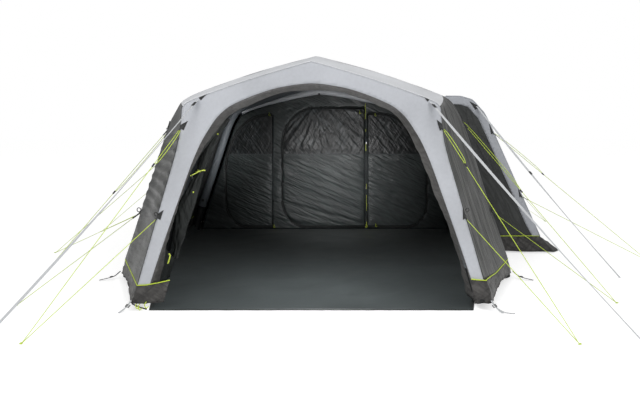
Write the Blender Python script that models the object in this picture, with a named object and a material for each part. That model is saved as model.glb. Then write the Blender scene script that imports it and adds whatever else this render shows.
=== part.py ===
"""Inflatable tunnel tent with a front canopy, an inner tent and one side wing.

Metres, +Z up. The tent faces -Y and its ridge runs along Y. The origin is on the ground,
on the ridge line, halfway between the front plane and the rear wall.
Depths are measured behind the front plane.
"""

import math

import bmesh
import bpy
from mathutils import Matrix, Vector

# Cloth and seams
cloth = 0.003
seam = 0.0003

# Main lengths of the tent
body_length = 6.2
canopy_depth = 1.08
bedroom_depth = 4.12

# Cross-sections, as shares of the foot's half width and of the ridge height
front_half_width = 1.545
front_height = 2.12
main_half_width = 2.0
main_height = 2.28
front_section_shares = (
    (0.0, 1.0), (0.343, 0.927), (0.66, 0.845), (0.712, 0.821), (0.715, 0.755),
    (0.735, 0.651), (0.819, 0.443), (0.955, 0.099), (1.0, 0.0),
)
main_section_shares = (
    (0.0, 1.0), (0.31, 0.928), (0.63, 0.829), (0.693, 0.794), (0.75, 0.702),
    (0.79, 0.596), (0.855, 0.417), (0.978, 0.0877), (1.0, 0.0),
)
shoulder_index = 3
piping_index = 7

# Sag of the cloth between two beams, and where its rows lie in a bay
roof_sag = 0.028
side_sag = 0.035
canopy_sag = 0.02
bay_row_shares = (0.08, 0.3, 0.5, 0.7, 0.92)

# Front arch and the return strip behind it
arch_half_width = 1.43
arch_height = 1.932
arch_shares = (
    (0.0, 1.0), (0.21, 0.976), (0.36, 0.938), (0.49, 0.895), (0.566, 0.844),
    (0.65, 0.745), (0.706, 0.652), (0.783, 0.492), (0.865, 0.32), (0.951, 0.129), (1.0, 0.0),
)
return_depth = 0.3
return_taper = 0.03
return_foot_taper = 0.12
return_foot_height = 0.75
return_ring_shares = ((0.0, 0.0), (0.11, 0.58), (0.4, 0.85), (1.0, 1.0))

# Air beams
beam_radius = 0.058
sleeve_wall = 0.002
beam_sides = 12
valve_sides = 16
valve_height = 0.45
valve_radius = 0.016
valve_clearance = 0.0006
valve_stand_out = 0.012
cap_radius = 0.02
cap_thickness = 0.009

# Side wing on the right
wing_start = 2.4
wing_end = 4.08
wing_root_x = 0.62 * main_half_width
wing_top = 0.8443 * main_height
wing_eave_x = 0.86 * main_half_width
wing_shoulder_x = 0.935 * main_half_width
wing_shoulder_z = 0.8246 * main_height
wing_corner_x = 1.015 * main_half_width
wing_corner_z = 0.7456 * main_height
wing_piping_reach = 0.7
wing_foot_reach = 0.79
wing_piping_x = main_half_width + wing_piping_reach
wing_foot_x = main_half_width + wing_foot_reach
wing_foot_z = 0.012
wing_roof_sag = 0.02

# Skirts
skirt_hover = 0.06
skirt_rise = 0.05
front_skirt_inner_x = 1.22

# Wing door, in the plane of the wing's side wall
wing_door_start = 0.4
wing_door_width = 0.8
wing_door_sill = 0.1
wing_door_height = 0.614 * main_height
wing_door_corner = 0.3

# Groundsheet
sheet_front_half_width = 1.375
sheet_flare_depth = 0.14
sheet_side_inset = 0.03
sheet_wing_inset = 0.06

# Inner tent
inner_inset = 0.145
inner_rear_space = 0.02
divider_left_x = -0.3525 * main_half_width
divider_right_x = 0.3125 * main_half_width

# Bedroom doors: hinge side, far side, sill and top
door_sill = 0.035
door_clearance = 0.002
door_hinge_clearance = 0.0005
left_door_hinge_x = -0.395 * main_half_width
left_door_far_x = -0.745 * main_half_width
left_door_top = 0.7544 * main_height
left_door_corner_shares = (0.857, 0.504)
left_door_foot_corner_shares = (0.486, 0.237)
middle_door_hinge_x = 0.3 * main_half_width
middle_door_far_x = -0.32 * main_half_width
middle_door_top = 0.8026 * main_height
middle_door_corner_shares = (0.403, 0.306)
middle_door_foot_corner_shares = (0.29, 0.234)
right_door_hinge_x = 0.325 * main_half_width
right_door_far_x = 0.77 * main_half_width
right_door_top = 0.7632 * main_height
right_door_corner_shares = (0.809, 0.557)
right_door_foot_corner_shares = (0.337, 0.211)
door_arc_steps = 7
left_door = (
    left_door_hinge_x, left_door_far_x, left_door_top,
    left_door_corner_shares, left_door_foot_corner_shares,
)
middle_door = (
    middle_door_hinge_x, middle_door_far_x, middle_door_top,
    middle_door_corner_shares, middle_door_foot_corner_shares,
)
right_door = (
    right_door_hinge_x, right_door_far_x, right_door_top,
    right_door_corner_shares, right_door_foot_corner_shares,
)

# Folds of the inner tent's front wall, which run down to the right below its cross seam
fold_depth = 0.02
fold_pitch = 0.26
fold_steps = 4
fold_column_width = 0.34
fold_seam_z = 0.4956 * main_height
fold_hold = 0.07
fold_foot_z = 0.12
fold_low_slope = 0.2
fold_high_slope = 0.5
cutter_reach = 0.06

# Zip sliders between the middle and the right bedroom door
slider_width = 0.012
slider_length = 0.032
slider_thickness = 0.007
upper_slider_z = 0.5702 * main_height
lower_slider_z = 0.2719 * main_height

# Rolled front door curtain
curtain_radius = 0.052
curtain_top_z = 1.63
curtain_foot_z = 0.36
curtain_rows = 22
curtain_sides = 16
curtain_fold_share = 0.16
curtain_folds = 4
curtain_swell_shares = (
    (0.4, 1.0), (0.62, 0.94), (0.8, 0.7), (0.66, 0.62), (1.1, 0.52),
    (1.6, 0.35), (1.2, 0.18), (0.55, 0.06), (0.62, 0.0),
)

# Guy lines, runners and storm straps
guy_radius = 0.0023
peg_loop_radius = 0.014
guy_steps = 3
guy_down_shares = (0.6, 0.97)
guy_up_shares = (0.03, 0.5)
upper_guy_height = 1.53
canopy_right_guy_height = 1.6
lower_guy_height = 0.68
wing_guy_height = 1.46
front_lower_guy_height = 0.77
runner_length = 0.034
runner_radius = 0.0075
runner_bore_clearance = 0.0006
runner_sides = 10
front_runner_share = 0.19
canopy_left_runner_share = 0.4
canopy_right_runner_share = 0.42
wing_runner_share = 0.33
strap_width = 0.03
strap_thickness = 0.002
strap_points = 9
strap_sag = 0.03
strap_patch_left_x = 0.96
strap_patch_right_x = 1.01
wing_strap_patch = (0.96 * main_half_width, 0.7895 * main_height)

# Peg points on the ground: x, and depth behind the front plane
strap_peg_left = (-2.22, -1.23)
strap_peg_right = (2.35, -1.25)
strap_peg_wing = (3.09, 1.06)
peg_front_left = (-2.04, -0.8)
peg_front_right = (1.96, -0.81)
peg_canopy_left = (-2.57, 0.15)
peg_canopy_right = (2.68, 0.22)
peg_middle_left = (-3.26, 2.38)
peg_bedroom_left = (-3.28, 3.89)
peg_wing_front = (3.79, 1.91)
peg_wing_rear = (3.57, 4.85)


def clear_scene():
    """Remove whatever the scene held before."""
    for item in list(bpy.data.objects):
        bpy.data.objects.remove(item, do_unlink=True)


def material(name, colour, roughness, metallic=0.0):
    """A Principled material in one plain finish."""
    made = bpy.data.materials.new(name)
    made.use_nodes = True
    shader = made.node_tree.nodes["Principled BSDF"]
    shader.inputs["Base Color"].default_value = (*colour, 1.0)
    shader.inputs["Roughness"].default_value = roughness
    shader.inputs["Metallic"].default_value = metallic
    return made


def place(name, mesh, finish, location=(0.0, 0.0, 0.0)):
    """Link a mesh to the scene as one named sub-part."""
    thing = bpy.data.objects.new(name, mesh)
    thing.location = location
    mesh.materials.clear()
    mesh.materials.append(finish)
    bpy.context.collection.objects.link(thing)
    return thing


def mesh_from(name, points, faces):
    """A closed mesh with its faces turned outwards."""
    shape = bmesh.new()
    corners = [shape.verts.new(point) for point in points]
    for face in faces:
        shape.faces.new([corners[index] for index in face])
    bmesh.ops.recalc_face_normals(shape, faces=shape.faces)
    mesh = bpy.data.meshes.new(name)
    shape.to_mesh(mesh)
    shape.free()
    return mesh


def smooth(thing, angle=math.radians(35)):
    """Shade a rounded piece smooth, with its sharp edges kept."""
    thing.data.shade_smooth()
    thing.data.set_sharp_from_angle(angle=angle)
    return thing


def slab_mesh(name, outer, inner):
    """The closed solid between two like grids of points, outer[row][column], split alike on both sides."""
    rows = len(outer)
    columns = len(outer[0])
    points = [p for row in outer for p in row] + [p for row in inner for p in row]
    size = rows * columns

    def at(row, column, side):
        return side * size + row * columns + column

    faces = []
    for row in range(rows - 1):
        for column in range(columns - 1):
            low, right = (row, column), (row, column + 1)
            top, high = (row + 1, column + 1), (row + 1, column)
            for corner in ([low, right, top], [low, top, high]):
                faces.append([at(r, c, 0) for r, c in corner])
                faces.append([at(r, c, 1) for r, c in reversed(corner)])
    rim = [(0, c) for c in range(columns)]
    rim += [(r, columns - 1) for r in range(1, rows)]
    rim += [(rows - 1, c) for c in range(columns - 2, -1, -1)]
    rim += [(r, 0) for r in range(rows - 2, 0, -1)]
    for here, there in zip(rim, rim[1:] + rim[:1]):
        faces.append([at(*here, 0), at(*here, 1), at(*there, 1), at(*there, 0)])
    return mesh_from(name, points, faces)


def tube_mesh(name, rings):
    """A solid rod through closed rings of points, with a flat cap at each end."""
    sides = len(rings[0])
    points = [p for ring in rings for p in ring]
    faces = []
    for row in range(len(rings) - 1):
        for column in range(sides):
            after = (column + 1) % sides
            low = row * sides
            high = low + sides
            faces.append([low + column, low + after, high + after, high + column])
    faces.append(list(range(sides)))
    faces.append([(len(rings) - 1) * sides + column for column in range(sides)])
    return mesh_from(name, points, faces)


def pipe_mesh(name, outer, inner):
    """A hollow tube between outer and inner rings, open at both ends."""
    sides = len(outer[0])
    rows = len(outer)
    points = [p for ring in outer for p in ring] + [p for ring in inner for p in ring]
    size = rows * sides
    faces = []
    for column in range(sides):
        after = (column + 1) % sides
        for row in range(rows - 1):
            low = row * sides
            high = low + sides
            faces.append([low + column, low + after, high + after, high + column])
            back = [low + after, low + column, high + column, high + after]
            faces.append([size + corner for corner in back])
        last = (rows - 1) * sides
        faces.append([column, after, size + after, size + column])
        faces.append([last + after, last + column, size + last + column, size + last + after])
    return mesh_from(name, points, faces)


def plate(name, outline, finish, thickness, holes=(), upright_at=None, flat_at=None):
    """A flat plate cut from an outline in X and Z (upright, front face at upright_at) or X and Y."""
    curve = bpy.data.curves.new(name, "CURVE")
    curve.dimensions = "2D"
    curve.fill_mode = "BOTH"
    curve.extrude = thickness / 2
    for loop in (outline, *holes):
        spline = curve.splines.new("POLY")
        spline.points.add(len(loop) - 1)
        for point, (across, along) in zip(spline.points, loop):
            point.co = (across, along, 0.0, 1.0)
        spline.use_cyclic_u = True
    thing = bpy.data.objects.new(name, curve)
    curve.materials.append(finish)
    if upright_at is not None:
        thing.rotation_euler = (math.pi / 2, 0.0, 0.0)
        thing.location = (0.0, upright_at + thickness / 2, 0.0)
    else:
        thing.location = (0.0, 0.0, flat_at + thickness / 2)
    bpy.context.collection.objects.link(thing)
    return thing


def behind(depth):
    """World Y of a depth behind the front plane."""
    return depth - body_length / 2


def blend(low, high, share):
    """A value between two others."""
    return low + (high - low) * share


def half_section(depth):
    """The fly's outer half profile from ridge to foot, at a depth behind the front plane."""
    share = min(max(depth / canopy_depth, 0.0), 1.0)
    profile = []
    for front, main in zip(front_section_shares, main_section_shares):
        x = blend(front[0] * front_half_width, main[0] * main_half_width, share)
        z = blend(front[1] * front_height, main[1] * main_height, share)
        profile.append((x, z))
    return profile


def full_section(depth):
    """The whole profile, from the left foot over the ridge to the right foot."""
    half = half_section(depth)
    return [(-x, z) for x, z in reversed(half)] + half[1:]


def inset(profile, distance):
    """An open profile moved sideways by a distance, to the right of its direction."""
    moved = []
    count = len(profile)
    for index, (x, z) in enumerate(profile):
        before = profile[max(index - 1, 0)]
        after = profile[min(index + 1, count - 1)]
        first = Vector((x - before[0], z - before[1]))
        second = Vector((after[0] - x, after[1] - z))
        if index == 0:
            first = second
        if index == count - 1:
            second = first
        first.normalize()
        second.normalize()
        normal = Vector((first.y + second.y, -first.x - second.x)).normalized()
        scale = distance / max(normal.dot(Vector((first.y, -first.x))), seam)
        moved.append((x + normal.x * scale, z + normal.y * scale))
    return moved


def grounded(profile, height):
    """A profile whose first and last runs are cut, or drawn out, to end at a height."""
    fitted = list(profile)
    for end, following in ((0, 1), (-1, -2)):
        x, z = profile[end]
        x2, z2 = profile[following]
        share = (height - z) / (z2 - z)
        fitted[end] = (blend(x, x2, share), height)
    return fitted


def trimmed(profile, distance):
    """A profile shortened by a distance at both of its ends."""
    fitted = list(profile)
    for end, following in ((0, 1), (-1, -2)):
        here = Vector(profile[end])
        there = Vector(profile[following])
        fitted[end] = tuple(here + (there - here).normalized() * distance)
    return fitted


def x_at(profile, height):
    """Half width of a half profile at a height on its side."""
    for (x, z), (x2, z2) in zip(profile, profile[1:]):
        if z2 <= height <= z:
            return blend(x, x2, (z - height) / (z - z2))
    return profile[-1][0]


def z_at(profile, across):
    """Height of a half profile's roof at a distance from the ridge line."""
    for (x, z), (x2, z2) in zip(profile, profile[1:]):
        if x <= across <= x2:
            return blend(z, z2, (across - x) / (x2 - x))
    return profile[-1][1]


beam_centre_inset = cloth + seam + beam_radius
beam_depths = (
    beam_centre_inset,
    canopy_depth + beam_centre_inset,
    wing_start + beam_centre_inset,
    bedroom_depth - seam - beam_radius,
    body_length - seam - beam_radius,
)
valve_facings = (1, 1, 1, -1, -1)


def cloth_rows(start, end):
    """Depths of a panel's rows with the share of full sag at each."""
    stops = [start] + [depth for depth in beam_depths if start < depth < end] + [end]
    rows = [(start, 0.0)]
    for low, high in zip(stops, stops[1:]):
        if high - low > 2 * beam_radius + cloth:
            for share in bay_row_shares:
                rows.append((blend(low, high, share), math.sin(math.pi * share)))
        rows.append((high, 0.0))
    if start < canopy_depth < end:
        rows = [row for row in rows if abs(row[0] - canopy_depth) > beam_radius or row[1] == 0.0]
        rows.append((canopy_depth, 0.0))
        rows.sort()
    return rows


def fly_panel(name, first, last, start, end, sag, finish):
    """A sewn panel of the fly between two section points and two depths."""
    outer = []
    inner = []
    rows = cloth_rows(start + seam / 2, end - seam / 2)
    for depth, share in rows:
        section = full_section(depth)
        under = inset(section, cloth)
        y = behind(depth)
        outline = trimmed(section[first:last + 1], seam / 2)
        lining = trimmed(under[first:last + 1], seam / 2)
        drawn = inset(section, sag * share)
        drawn_under = inset(section, sag * share + cloth)
        fuller = trimmed(drawn[first:last + 1], seam / 2)
        fuller_under = trimmed(drawn_under[first:last + 1], seam / 2)
        outline[1:-1] = fuller[1:-1]
        lining[1:-1] = fuller_under[1:-1]
        outer.append([(x, y, z) for x, z in outline])
        inner.append([(x, y, z) for x, z in lining])
    return smooth(place(name, slab_mesh(name, outer, inner), finish))


def build_fly(finishes):
    """The outer tent's roof, sides, front fascia, arch return and rear wall."""
    count = 2 * len(front_section_shares) - 1
    middle = len(front_section_shares) - 1
    left_shoulder = middle - shoulder_index
    right_shoulder = middle + shoulder_index
    left_piping = middle - piping_index
    right_piping = count - 1 - left_piping
    start = cloth + seam / 2
    light = finishes["light"]
    dark = finishes["dark"]
    fly_panel("roof", left_shoulder, right_shoulder, start, body_length, roof_sag, light)
    for side, low, high in (
        ("left", left_piping, left_shoulder),
        ("right", right_shoulder, right_piping),
    ):
        fly_panel("canopy_side_" + side, low, high, start, canopy_depth, canopy_sag, dark)
    fly_panel("side_left", left_piping, left_shoulder, canopy_depth, body_length, side_sag, dark)
    wing_front = wing_start + cloth
    wing_rear = wing_end - cloth
    fly_panel("side_right_front", right_shoulder, right_piping, canopy_depth, wing_front, side_sag, dark)
    fly_panel("side_right_rear", right_shoulder, right_piping, wing_rear, body_length, side_sag, dark)

    section = full_section(0.0)
    piping_z = section[right_piping][1]
    arch = arch_outline(0.0)
    foot = grounded(arch, piping_z)
    outline = section[left_piping:right_piping + 1] + list(reversed(foot))
    plate("fascia", outline, light, cloth, upright_at=behind(0.0))

    rear = full_section(body_length)[left_piping:right_piping + 1]
    plate("rear_wall", rear, dark, cloth, upright_at=behind(body_length) + seam / 2)


def arch_outline(taper_share):
    """The front opening's outline, drawn inwards by a share of the return strip's taper."""
    half = []
    for across, up in arch_shares:
        x = across * arch_half_width
        z = up * arch_height
        low = min(max(1.0 - z / return_foot_height, 0.0), 1.0)
        taper = blend(return_taper, return_foot_taper, low) * taper_share
        half.append((x, z, taper))
    full = [(-x, z, taper) for x, z, taper in reversed(half)] + half[1:]
    line = [(x, z) for x, z, taper in full]
    drawn = []
    for (x, z), (ux, uz), (_, _, taper) in zip(line, inset(line, 1.0), full):
        drawn.append((x + (ux - x) * taper, z + (uz - z) * taper))
    return drawn


def build_arch_return(finish):
    """The strip of cloth that turns inwards from the arch's edge and hides the front beam."""
    outer = []
    inner = []
    start = cloth + seam
    piping_z = half_section(0.0)[piping_index][1]
    for depth_share, taper_share in return_ring_shares:
        y = behind(start + (return_depth - start) * depth_share)
        line = grounded(arch_outline(taper_share), piping_z + seam)
        back = grounded(inset(line, -cloth), piping_z + seam)
        inner.append([(x, y, z) for x, z in line])
        outer.append([(x, y, z) for x, z in back])
    smooth(place("arch_return", slab_mesh("arch_return", outer, inner), finish))


def beam_rings(depth, radius, foot_z):
    """Rings of one beam, each point on the fly's profile moved inwards."""
    section = full_section(depth)
    lines = []
    for side in range(beam_sides):
        angle = 2 * math.pi * side / beam_sides
        line = inset(section, beam_centre_inset - radius * math.cos(angle))
        y = behind(depth) + radius * math.sin(angle)
        lines.append([(x, y, z) for x, z in grounded(line, foot_z)])
    return [list(ring) for ring in zip(*lines)]


def beam_section_depth(depth):
    """The depth whose section a beam follows: the narrowest that its tube touches."""
    return 0.0 if depth < canopy_depth else depth


def cylinder_mesh(name, radius, length):
    """A cylinder along Y from the origin."""
    rings = []
    for y in (0.0, length):
        ring = []
        for side in range(valve_sides):
            angle = 2 * math.pi * side / valve_sides
            ring.append((radius * math.cos(angle), y, radius * math.sin(angle)))
        rings.append(ring)
    return tube_mesh(name, rings)


def helper(name, mesh, location, finish):
    """A cutter or a boss that only feeds a Boolean."""
    thing = place(name, mesh, finish, location)
    thing.hide_render = True
    thing.display_type = "WIRE"
    return thing


def boolean(thing, other, operation):
    """Join or cut one piece with a helper."""
    step = thing.modifiers.new(operation.lower(), "BOOLEAN")
    step.operation = operation
    step.object = other
    step.solver = "EXACT"


def build_beams(finishes):
    """Five air beams: a hollow sleeve, the bladder in it with its valve, and the valve's cap."""
    for number, (depth, facing) in enumerate(zip(beam_depths, valve_facings), start=1):
        foot_z = 0.0 if depth > bedroom_depth else cloth + seam
        section_depth = beam_section_depth(depth)
        shift = depth - section_depth
        wall = beam_radius - sleeve_wall
        outer = beam_rings(section_depth, beam_radius, foot_z)
        inner = beam_rings(section_depth, wall, foot_z)
        core = beam_rings(section_depth, wall - seam, foot_z)
        for rings in (outer, inner, core):
            for ring in rings:
                ring[:] = [(x, y + shift, z) for x, y, z in ring]
        sleeve = place("beam_sleeve_%d" % number, pipe_mesh("sleeve", outer, inner), finishes["sleeve"])
        bladder = place("beam_bladder_%d" % number, tube_mesh("bladder", core), finishes["bladder"])
        smooth(sleeve)
        smooth(bladder)

        centre_line = inset(half_section(section_depth), beam_centre_inset)
        x = -x_at(centre_line, valve_height)
        reach = beam_radius + valve_stand_out
        y = behind(depth) if facing > 0 else behind(depth) - reach
        spot = (x, y, valve_height)
        boss = cylinder_mesh("boss", valve_radius, reach)
        hole = cylinder_mesh("hole", valve_radius + valve_clearance, reach)
        boolean(bladder, helper("boss_%d" % number, boss, spot, finishes["bladder"]), "UNION")
        boolean(sleeve, helper("hole_%d" % number, hole, spot, finishes["sleeve"]), "DIFFERENCE")

        cap_y = behind(depth) + facing * (reach + seam)
        cap = cylinder_mesh("cap", cap_radius, cap_thickness)
        for corner in cap.vertices:
            corner.co.z -= cap_radius
            if facing < 0:
                corner.co.y -= cap_thickness
        hinge_z = valve_height + cap_radius
        smooth(place("valve_cap_%d" % number, cap, finishes["plastic"], (x, cap_y, hinge_z)))


def wing_section():
    """The wing's outer profile from the main roof out and down to its foot."""
    return [
        (wing_root_x, wing_top), (wing_eave_x, wing_top), (wing_shoulder_x, wing_shoulder_z),
        (wing_corner_x, wing_corner_z), (wing_piping_x, half_section(canopy_depth)[piping_index][1]),
    ]


def wing_rows(start, end):
    """Y of the wing roof's rows with the share of full sag at each."""
    rows = [(start, 0.0)]
    for share in bay_row_shares:
        rows.append((blend(start, end, share), math.sin(math.pi * share)))
    rows.append((end, 0.0))
    return rows


def wing_end_outline():
    """The wing's front or rear wall, between the main side wall and the wing's profile."""
    section = half_section(canopy_depth)
    body = inset(section, -seam)[shoulder_index - 1:piping_index + 1]
    body[-1] = (body[-1][0], section[piping_index][1])
    outer = wing_section()
    root_z = z_at(inset(section, -seam), wing_root_x)
    return [(wing_root_x, root_z)] + outer + list(reversed(body))


def wing_plane(along, up):
    """A point on the wing's side wall: along the wing, and up the slope from its piping."""
    low = Vector((wing_piping_x, half_section(canopy_depth)[piping_index][1]))
    high = Vector((wing_corner_x, wing_corner_z))
    spot = low + (high - low).normalized() * up
    return Vector((spot.x, behind(wing_start) + along, spot.y))


def wing_slope():
    """Length of the wing's side wall up its slope, and its unit directions."""
    low = wing_plane(0.0, 0.0)
    high = Vector((wing_corner_x, low.y, wing_corner_z))
    up = (high - low).normalized()
    outwards = Vector((up.z, 0.0, -up.x))
    return (high - low).length, up, outwards


def corner_relief(before, corner, after):
    """How far a square-cut panel stops short of a corner that its neighbour's cloth turns round."""
    first = Vector(corner) - Vector(before)
    second = Vector(after) - Vector(corner)
    return cloth * math.tan(first.angle(second) / 2) + 2 * seam


def rounded_door(width, height, corner):
    """A door outline with its two far corners rounded; its hinge side is at 0."""
    points = [(0.0, 0.0)]
    for centre, turn in (((width - corner, corner), -90), ((width - corner, height - corner), 0)):
        for step in range(door_arc_steps):
            angle = math.radians(turn + 90 * step / (door_arc_steps - 1))
            points.append((centre[0] + corner * math.cos(angle), centre[1] + corner * math.sin(angle)))
    points.append((0.0, height))
    return points


def build_wing(finishes):
    """The side wing: roof, two end walls, the side wall and its door."""
    section = wing_section()
    under = inset(section, cloth)
    roof_outer = []
    roof_inner = []
    start = wing_start + cloth + seam
    end = wing_end - cloth - seam
    body = half_section(canopy_depth)
    root = (wing_root_x, z_at(inset(body, -seam), wing_root_x) + cloth)
    root_under = (wing_root_x, z_at(inset(body, -seam), wing_root_x))
    for depth, share in wing_rows(start, end):
        y = behind(depth)
        drop = wing_roof_sag * share
        outline = [root] + [(x, z - drop) for x, z in section[1:3]] + trimmed(section[2:4], seam)[-1:]
        lining = [root_under] + [(x, z - drop) for x, z in under[1:3]] + trimmed(under[2:4], seam)[-1:]
        roof_outer.append([(x, y, z) for x, z in outline])
        roof_inner.append([(x, y, z) for x, z in lining])
    smooth(place("wing_roof", slab_mesh("wing_roof", roof_outer, roof_inner), finishes["light"]))

    plate("wing_front_wall", wing_end_outline(), finishes["dark"], cloth, upright_at=behind(wing_start))
    plate("wing_rear_wall", wing_end_outline(), finishes["dark"], cloth, upright_at=behind(wing_end) - cloth)

    slope, up, outwards = wing_slope()
    leaf = rounded_door(wing_door_width, wing_door_height, wing_door_corner)
    run = wing_end - wing_start - 2 * (cloth + seam)
    low = cloth * abs(up.x) / up.z + seam
    high = slope - corner_relief(*wing_section()[2:5])
    wall_outline = [(0.0, low), (run, low), (run, high), (0.0, high)]
    first = wing_door_start
    gap = door_clearance
    hole_width = wing_door_width + gap + door_hinge_clearance
    hole = rounded_door(hole_width, wing_door_height + 2 * gap, wing_door_corner + gap)
    hole_start = first - door_hinge_clearance
    hole_sill = wing_door_sill - gap
    hole = [(hole_start + along, hole_sill + rise) for along, rise in hole]

    corner = wing_plane(cloth + seam, 0.0)
    hinge = bpy.data.objects.new("hinge_wing", None)
    hinge.location = corner + Vector((0.0, first, 0.0)) + up * wing_door_sill
    hinge.rotation_euler = Matrix((Vector((0.0, 1.0, 0.0)), up, outwards)).transposed().to_euler()
    bpy.context.collection.objects.link(hinge)
    wall = plate("wing_side_wall", wall_outline, finishes["dark"], cloth, (hole,), flat_at=-cloth)
    wall.rotation_euler = hinge.rotation_euler
    wall.location = corner - outwards * (cloth / 2)
    door = plate("wing_door", leaf, finishes["dark"], cloth, flat_at=-cloth)
    door.parent = hinge


def band(name, top, bottom, top_inner, bottom_inner, finish):
    """A skirt between an upper and a lower line, with its inner lines given too."""
    return place(name, slab_mesh(name, [top, bottom], [top_inner, bottom_inner]), finish)


def skirt_line(side, depths):
    """Upper and lower lines of a side skirt, outside and inside, at given depths."""
    lines = ([], [], [], [])
    for depth, lift in depths:
        section = half_section(depth)
        under = inset(section, cloth)
        low = skirt_hover + lift
        top = section[piping_index]
        top_in = under[piping_index]
        run = Vector(section[-1]) - Vector(top)
        run.normalize()
        down = (top[1] - low) / -run.y
        shift = run * seam
        spots = (
            (top[0] + shift.x, top[1] + shift.y),
            (top[0] + run.x * down, low),
            (top_in[0] + shift.x, top_in[1] + shift.y),
            (top_in[0] + run.x * down, top_in[1] + run.y * down),
        )
        for line, (x, z) in zip(lines, spots):
            line.append((side * x, behind(depth), z))
    return lines


def build_skirts(finish):
    """Skirts below the piping: left, right, rear and round the wing."""
    half_bay = canopy_depth / 2
    canopy = [(0.0, 0.0), (half_bay, skirt_rise), (canopy_depth, 0.0)]
    inner_x = front_skirt_inner_x
    for side, name, end in ((-1, "skirt_left", body_length), (1, "skirt_right", wing_start - seam)):
        top, bottom, top_in, bottom_in = skirt_line(side, canopy + [(end, 0.0)])
        front = behind(0.0)
        back = front + cloth
        top_z = top[0][2]
        low_z = skirt_hover
        top_in[0] = (top_in[0][0], back, top_in[0][2])
        bottom_in[0] = (bottom_in[0][0], back, bottom_in[0][2])
        top.insert(0, (side * inner_x, front, top_z))
        bottom.insert(0, (side * inner_x, front, low_z))
        top_in.insert(0, (side * inner_x, back, top_z))
        bottom_in.insert(0, (side * inner_x, back, low_z))
        band(name, top, bottom, top_in, bottom_in, finish)

    corner_depth = body_length + cloth + seam
    top, bottom, top_in, bottom_in = skirt_line(1, [(wing_end + seam, 0.0), (corner_depth, 0.0)])
    corner_y = behind(corner_depth)
    edge = skirt_line(-1, [(body_length, 0.0)])
    left_x = edge[0][0][0]
    low_x = edge[1][0][0]
    top[1] = (top[1][0], corner_y, top[1][2])
    for line, x, y in ((top, left_x, corner_y), (bottom, low_x, corner_y)):
        line.append((x, y, line[-1][2]))
    for line, x in ((top_in, left_x), (bottom_in, low_x)):
        last = line[-1]
        line[-1] = (last[0], corner_y - cloth, last[2])
        line.append((x, corner_y - cloth, last[2]))
    band("skirt_rear", top, bottom, top_in, bottom_in, finish)

    section = half_section(canopy_depth)
    root_x = section[piping_index][0] + 2 * cloth
    root_low_x = section[-1][0] + 2 * cloth
    top_z = section[piping_index][1] - seam
    front_y = behind(wing_start)
    rear_y = behind(wing_end)
    top = [
        (root_x, front_y, top_z), (wing_piping_x, front_y, top_z),
        (wing_piping_x, rear_y, top_z), (root_x, rear_y, top_z),
    ]
    bottom = [
        (root_low_x, front_y, wing_foot_z), (wing_foot_x, front_y, wing_foot_z),
        (wing_foot_x, rear_y, wing_foot_z), (root_low_x, rear_y, wing_foot_z),
    ]
    moves = ((0.0, cloth), (-cloth, cloth), (-cloth, -cloth), (0.0, -cloth))
    top_in = [(x + dx, y + dy, z) for (x, y, z), (dx, dy) in zip(top, moves)]
    bottom_in = [(x + dx, y + dy, z) for (x, y, z), (dx, dy) in zip(bottom, moves)]
    band("skirt_wing", top, bottom, top_in, bottom_in, finish)


def build_groundsheet(finish):
    """The sewn groundsheet of the canopy, the living room and the wing."""
    side_x = main_half_width - sheet_side_inset
    flare_x = x_at(half_section(sheet_flare_depth), seam) - sheet_side_inset
    rear = behind(bedroom_depth) - seam
    wing_x = wing_foot_x - sheet_wing_inset
    low_y = behind(wing_start) + sheet_wing_inset
    high_y = behind(wing_end) - sheet_wing_inset
    front = behind(0.0)
    outline = [
        (-sheet_front_half_width, front), (sheet_front_half_width, front),
        (flare_x, front + sheet_flare_depth), (side_x, behind(canopy_depth)),
        (side_x, low_y), (wing_x, low_y), (wing_x, high_y), (side_x, high_y), (side_x, rear),
        (-side_x, rear), (-side_x, behind(canopy_depth)), (-flare_x, front + sheet_flare_depth),
    ]
    plate("groundsheet", outline, finish, cloth, flat_at=0.0)


def bedroom_door(hinge_x, far_x, top, corner_shares, foot_corner_shares, grow=0.0, hinge_gap=0.0):
    """A D-shaped door: straight at its hinge, with two elliptical corners on its far side."""
    side = 1.0 if far_x > hinge_x else -1.0
    width = abs(far_x - hinge_x) + grow
    low = door_sill - grow
    high = top + grow
    size = (abs(far_x - hinge_x), top - door_sill)
    corner = [share * length for share, length in zip(corner_shares, size)]
    foot_corner = [share * length for share, length in zip(foot_corner_shares, size)]
    points = [(hinge_x + side * hinge_gap, high), (hinge_x + side * hinge_gap, low)]
    arcs = (
        (foot_corner, low + foot_corner[1] + grow, -90),
        (corner, high - corner[1] - grow, 0),
    )
    for (across, rise), centre_z, turn in arcs:
        centre_x = width - across - grow
        for step in range(door_arc_steps):
            angle = math.radians(turn + 90 * step / (door_arc_steps - 1))
            x = centre_x + (across + grow) * math.cos(angle)
            z = centre_z + (rise + grow) * math.sin(angle)
            points.append((hinge_x + side * x, z))
    return points


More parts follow.
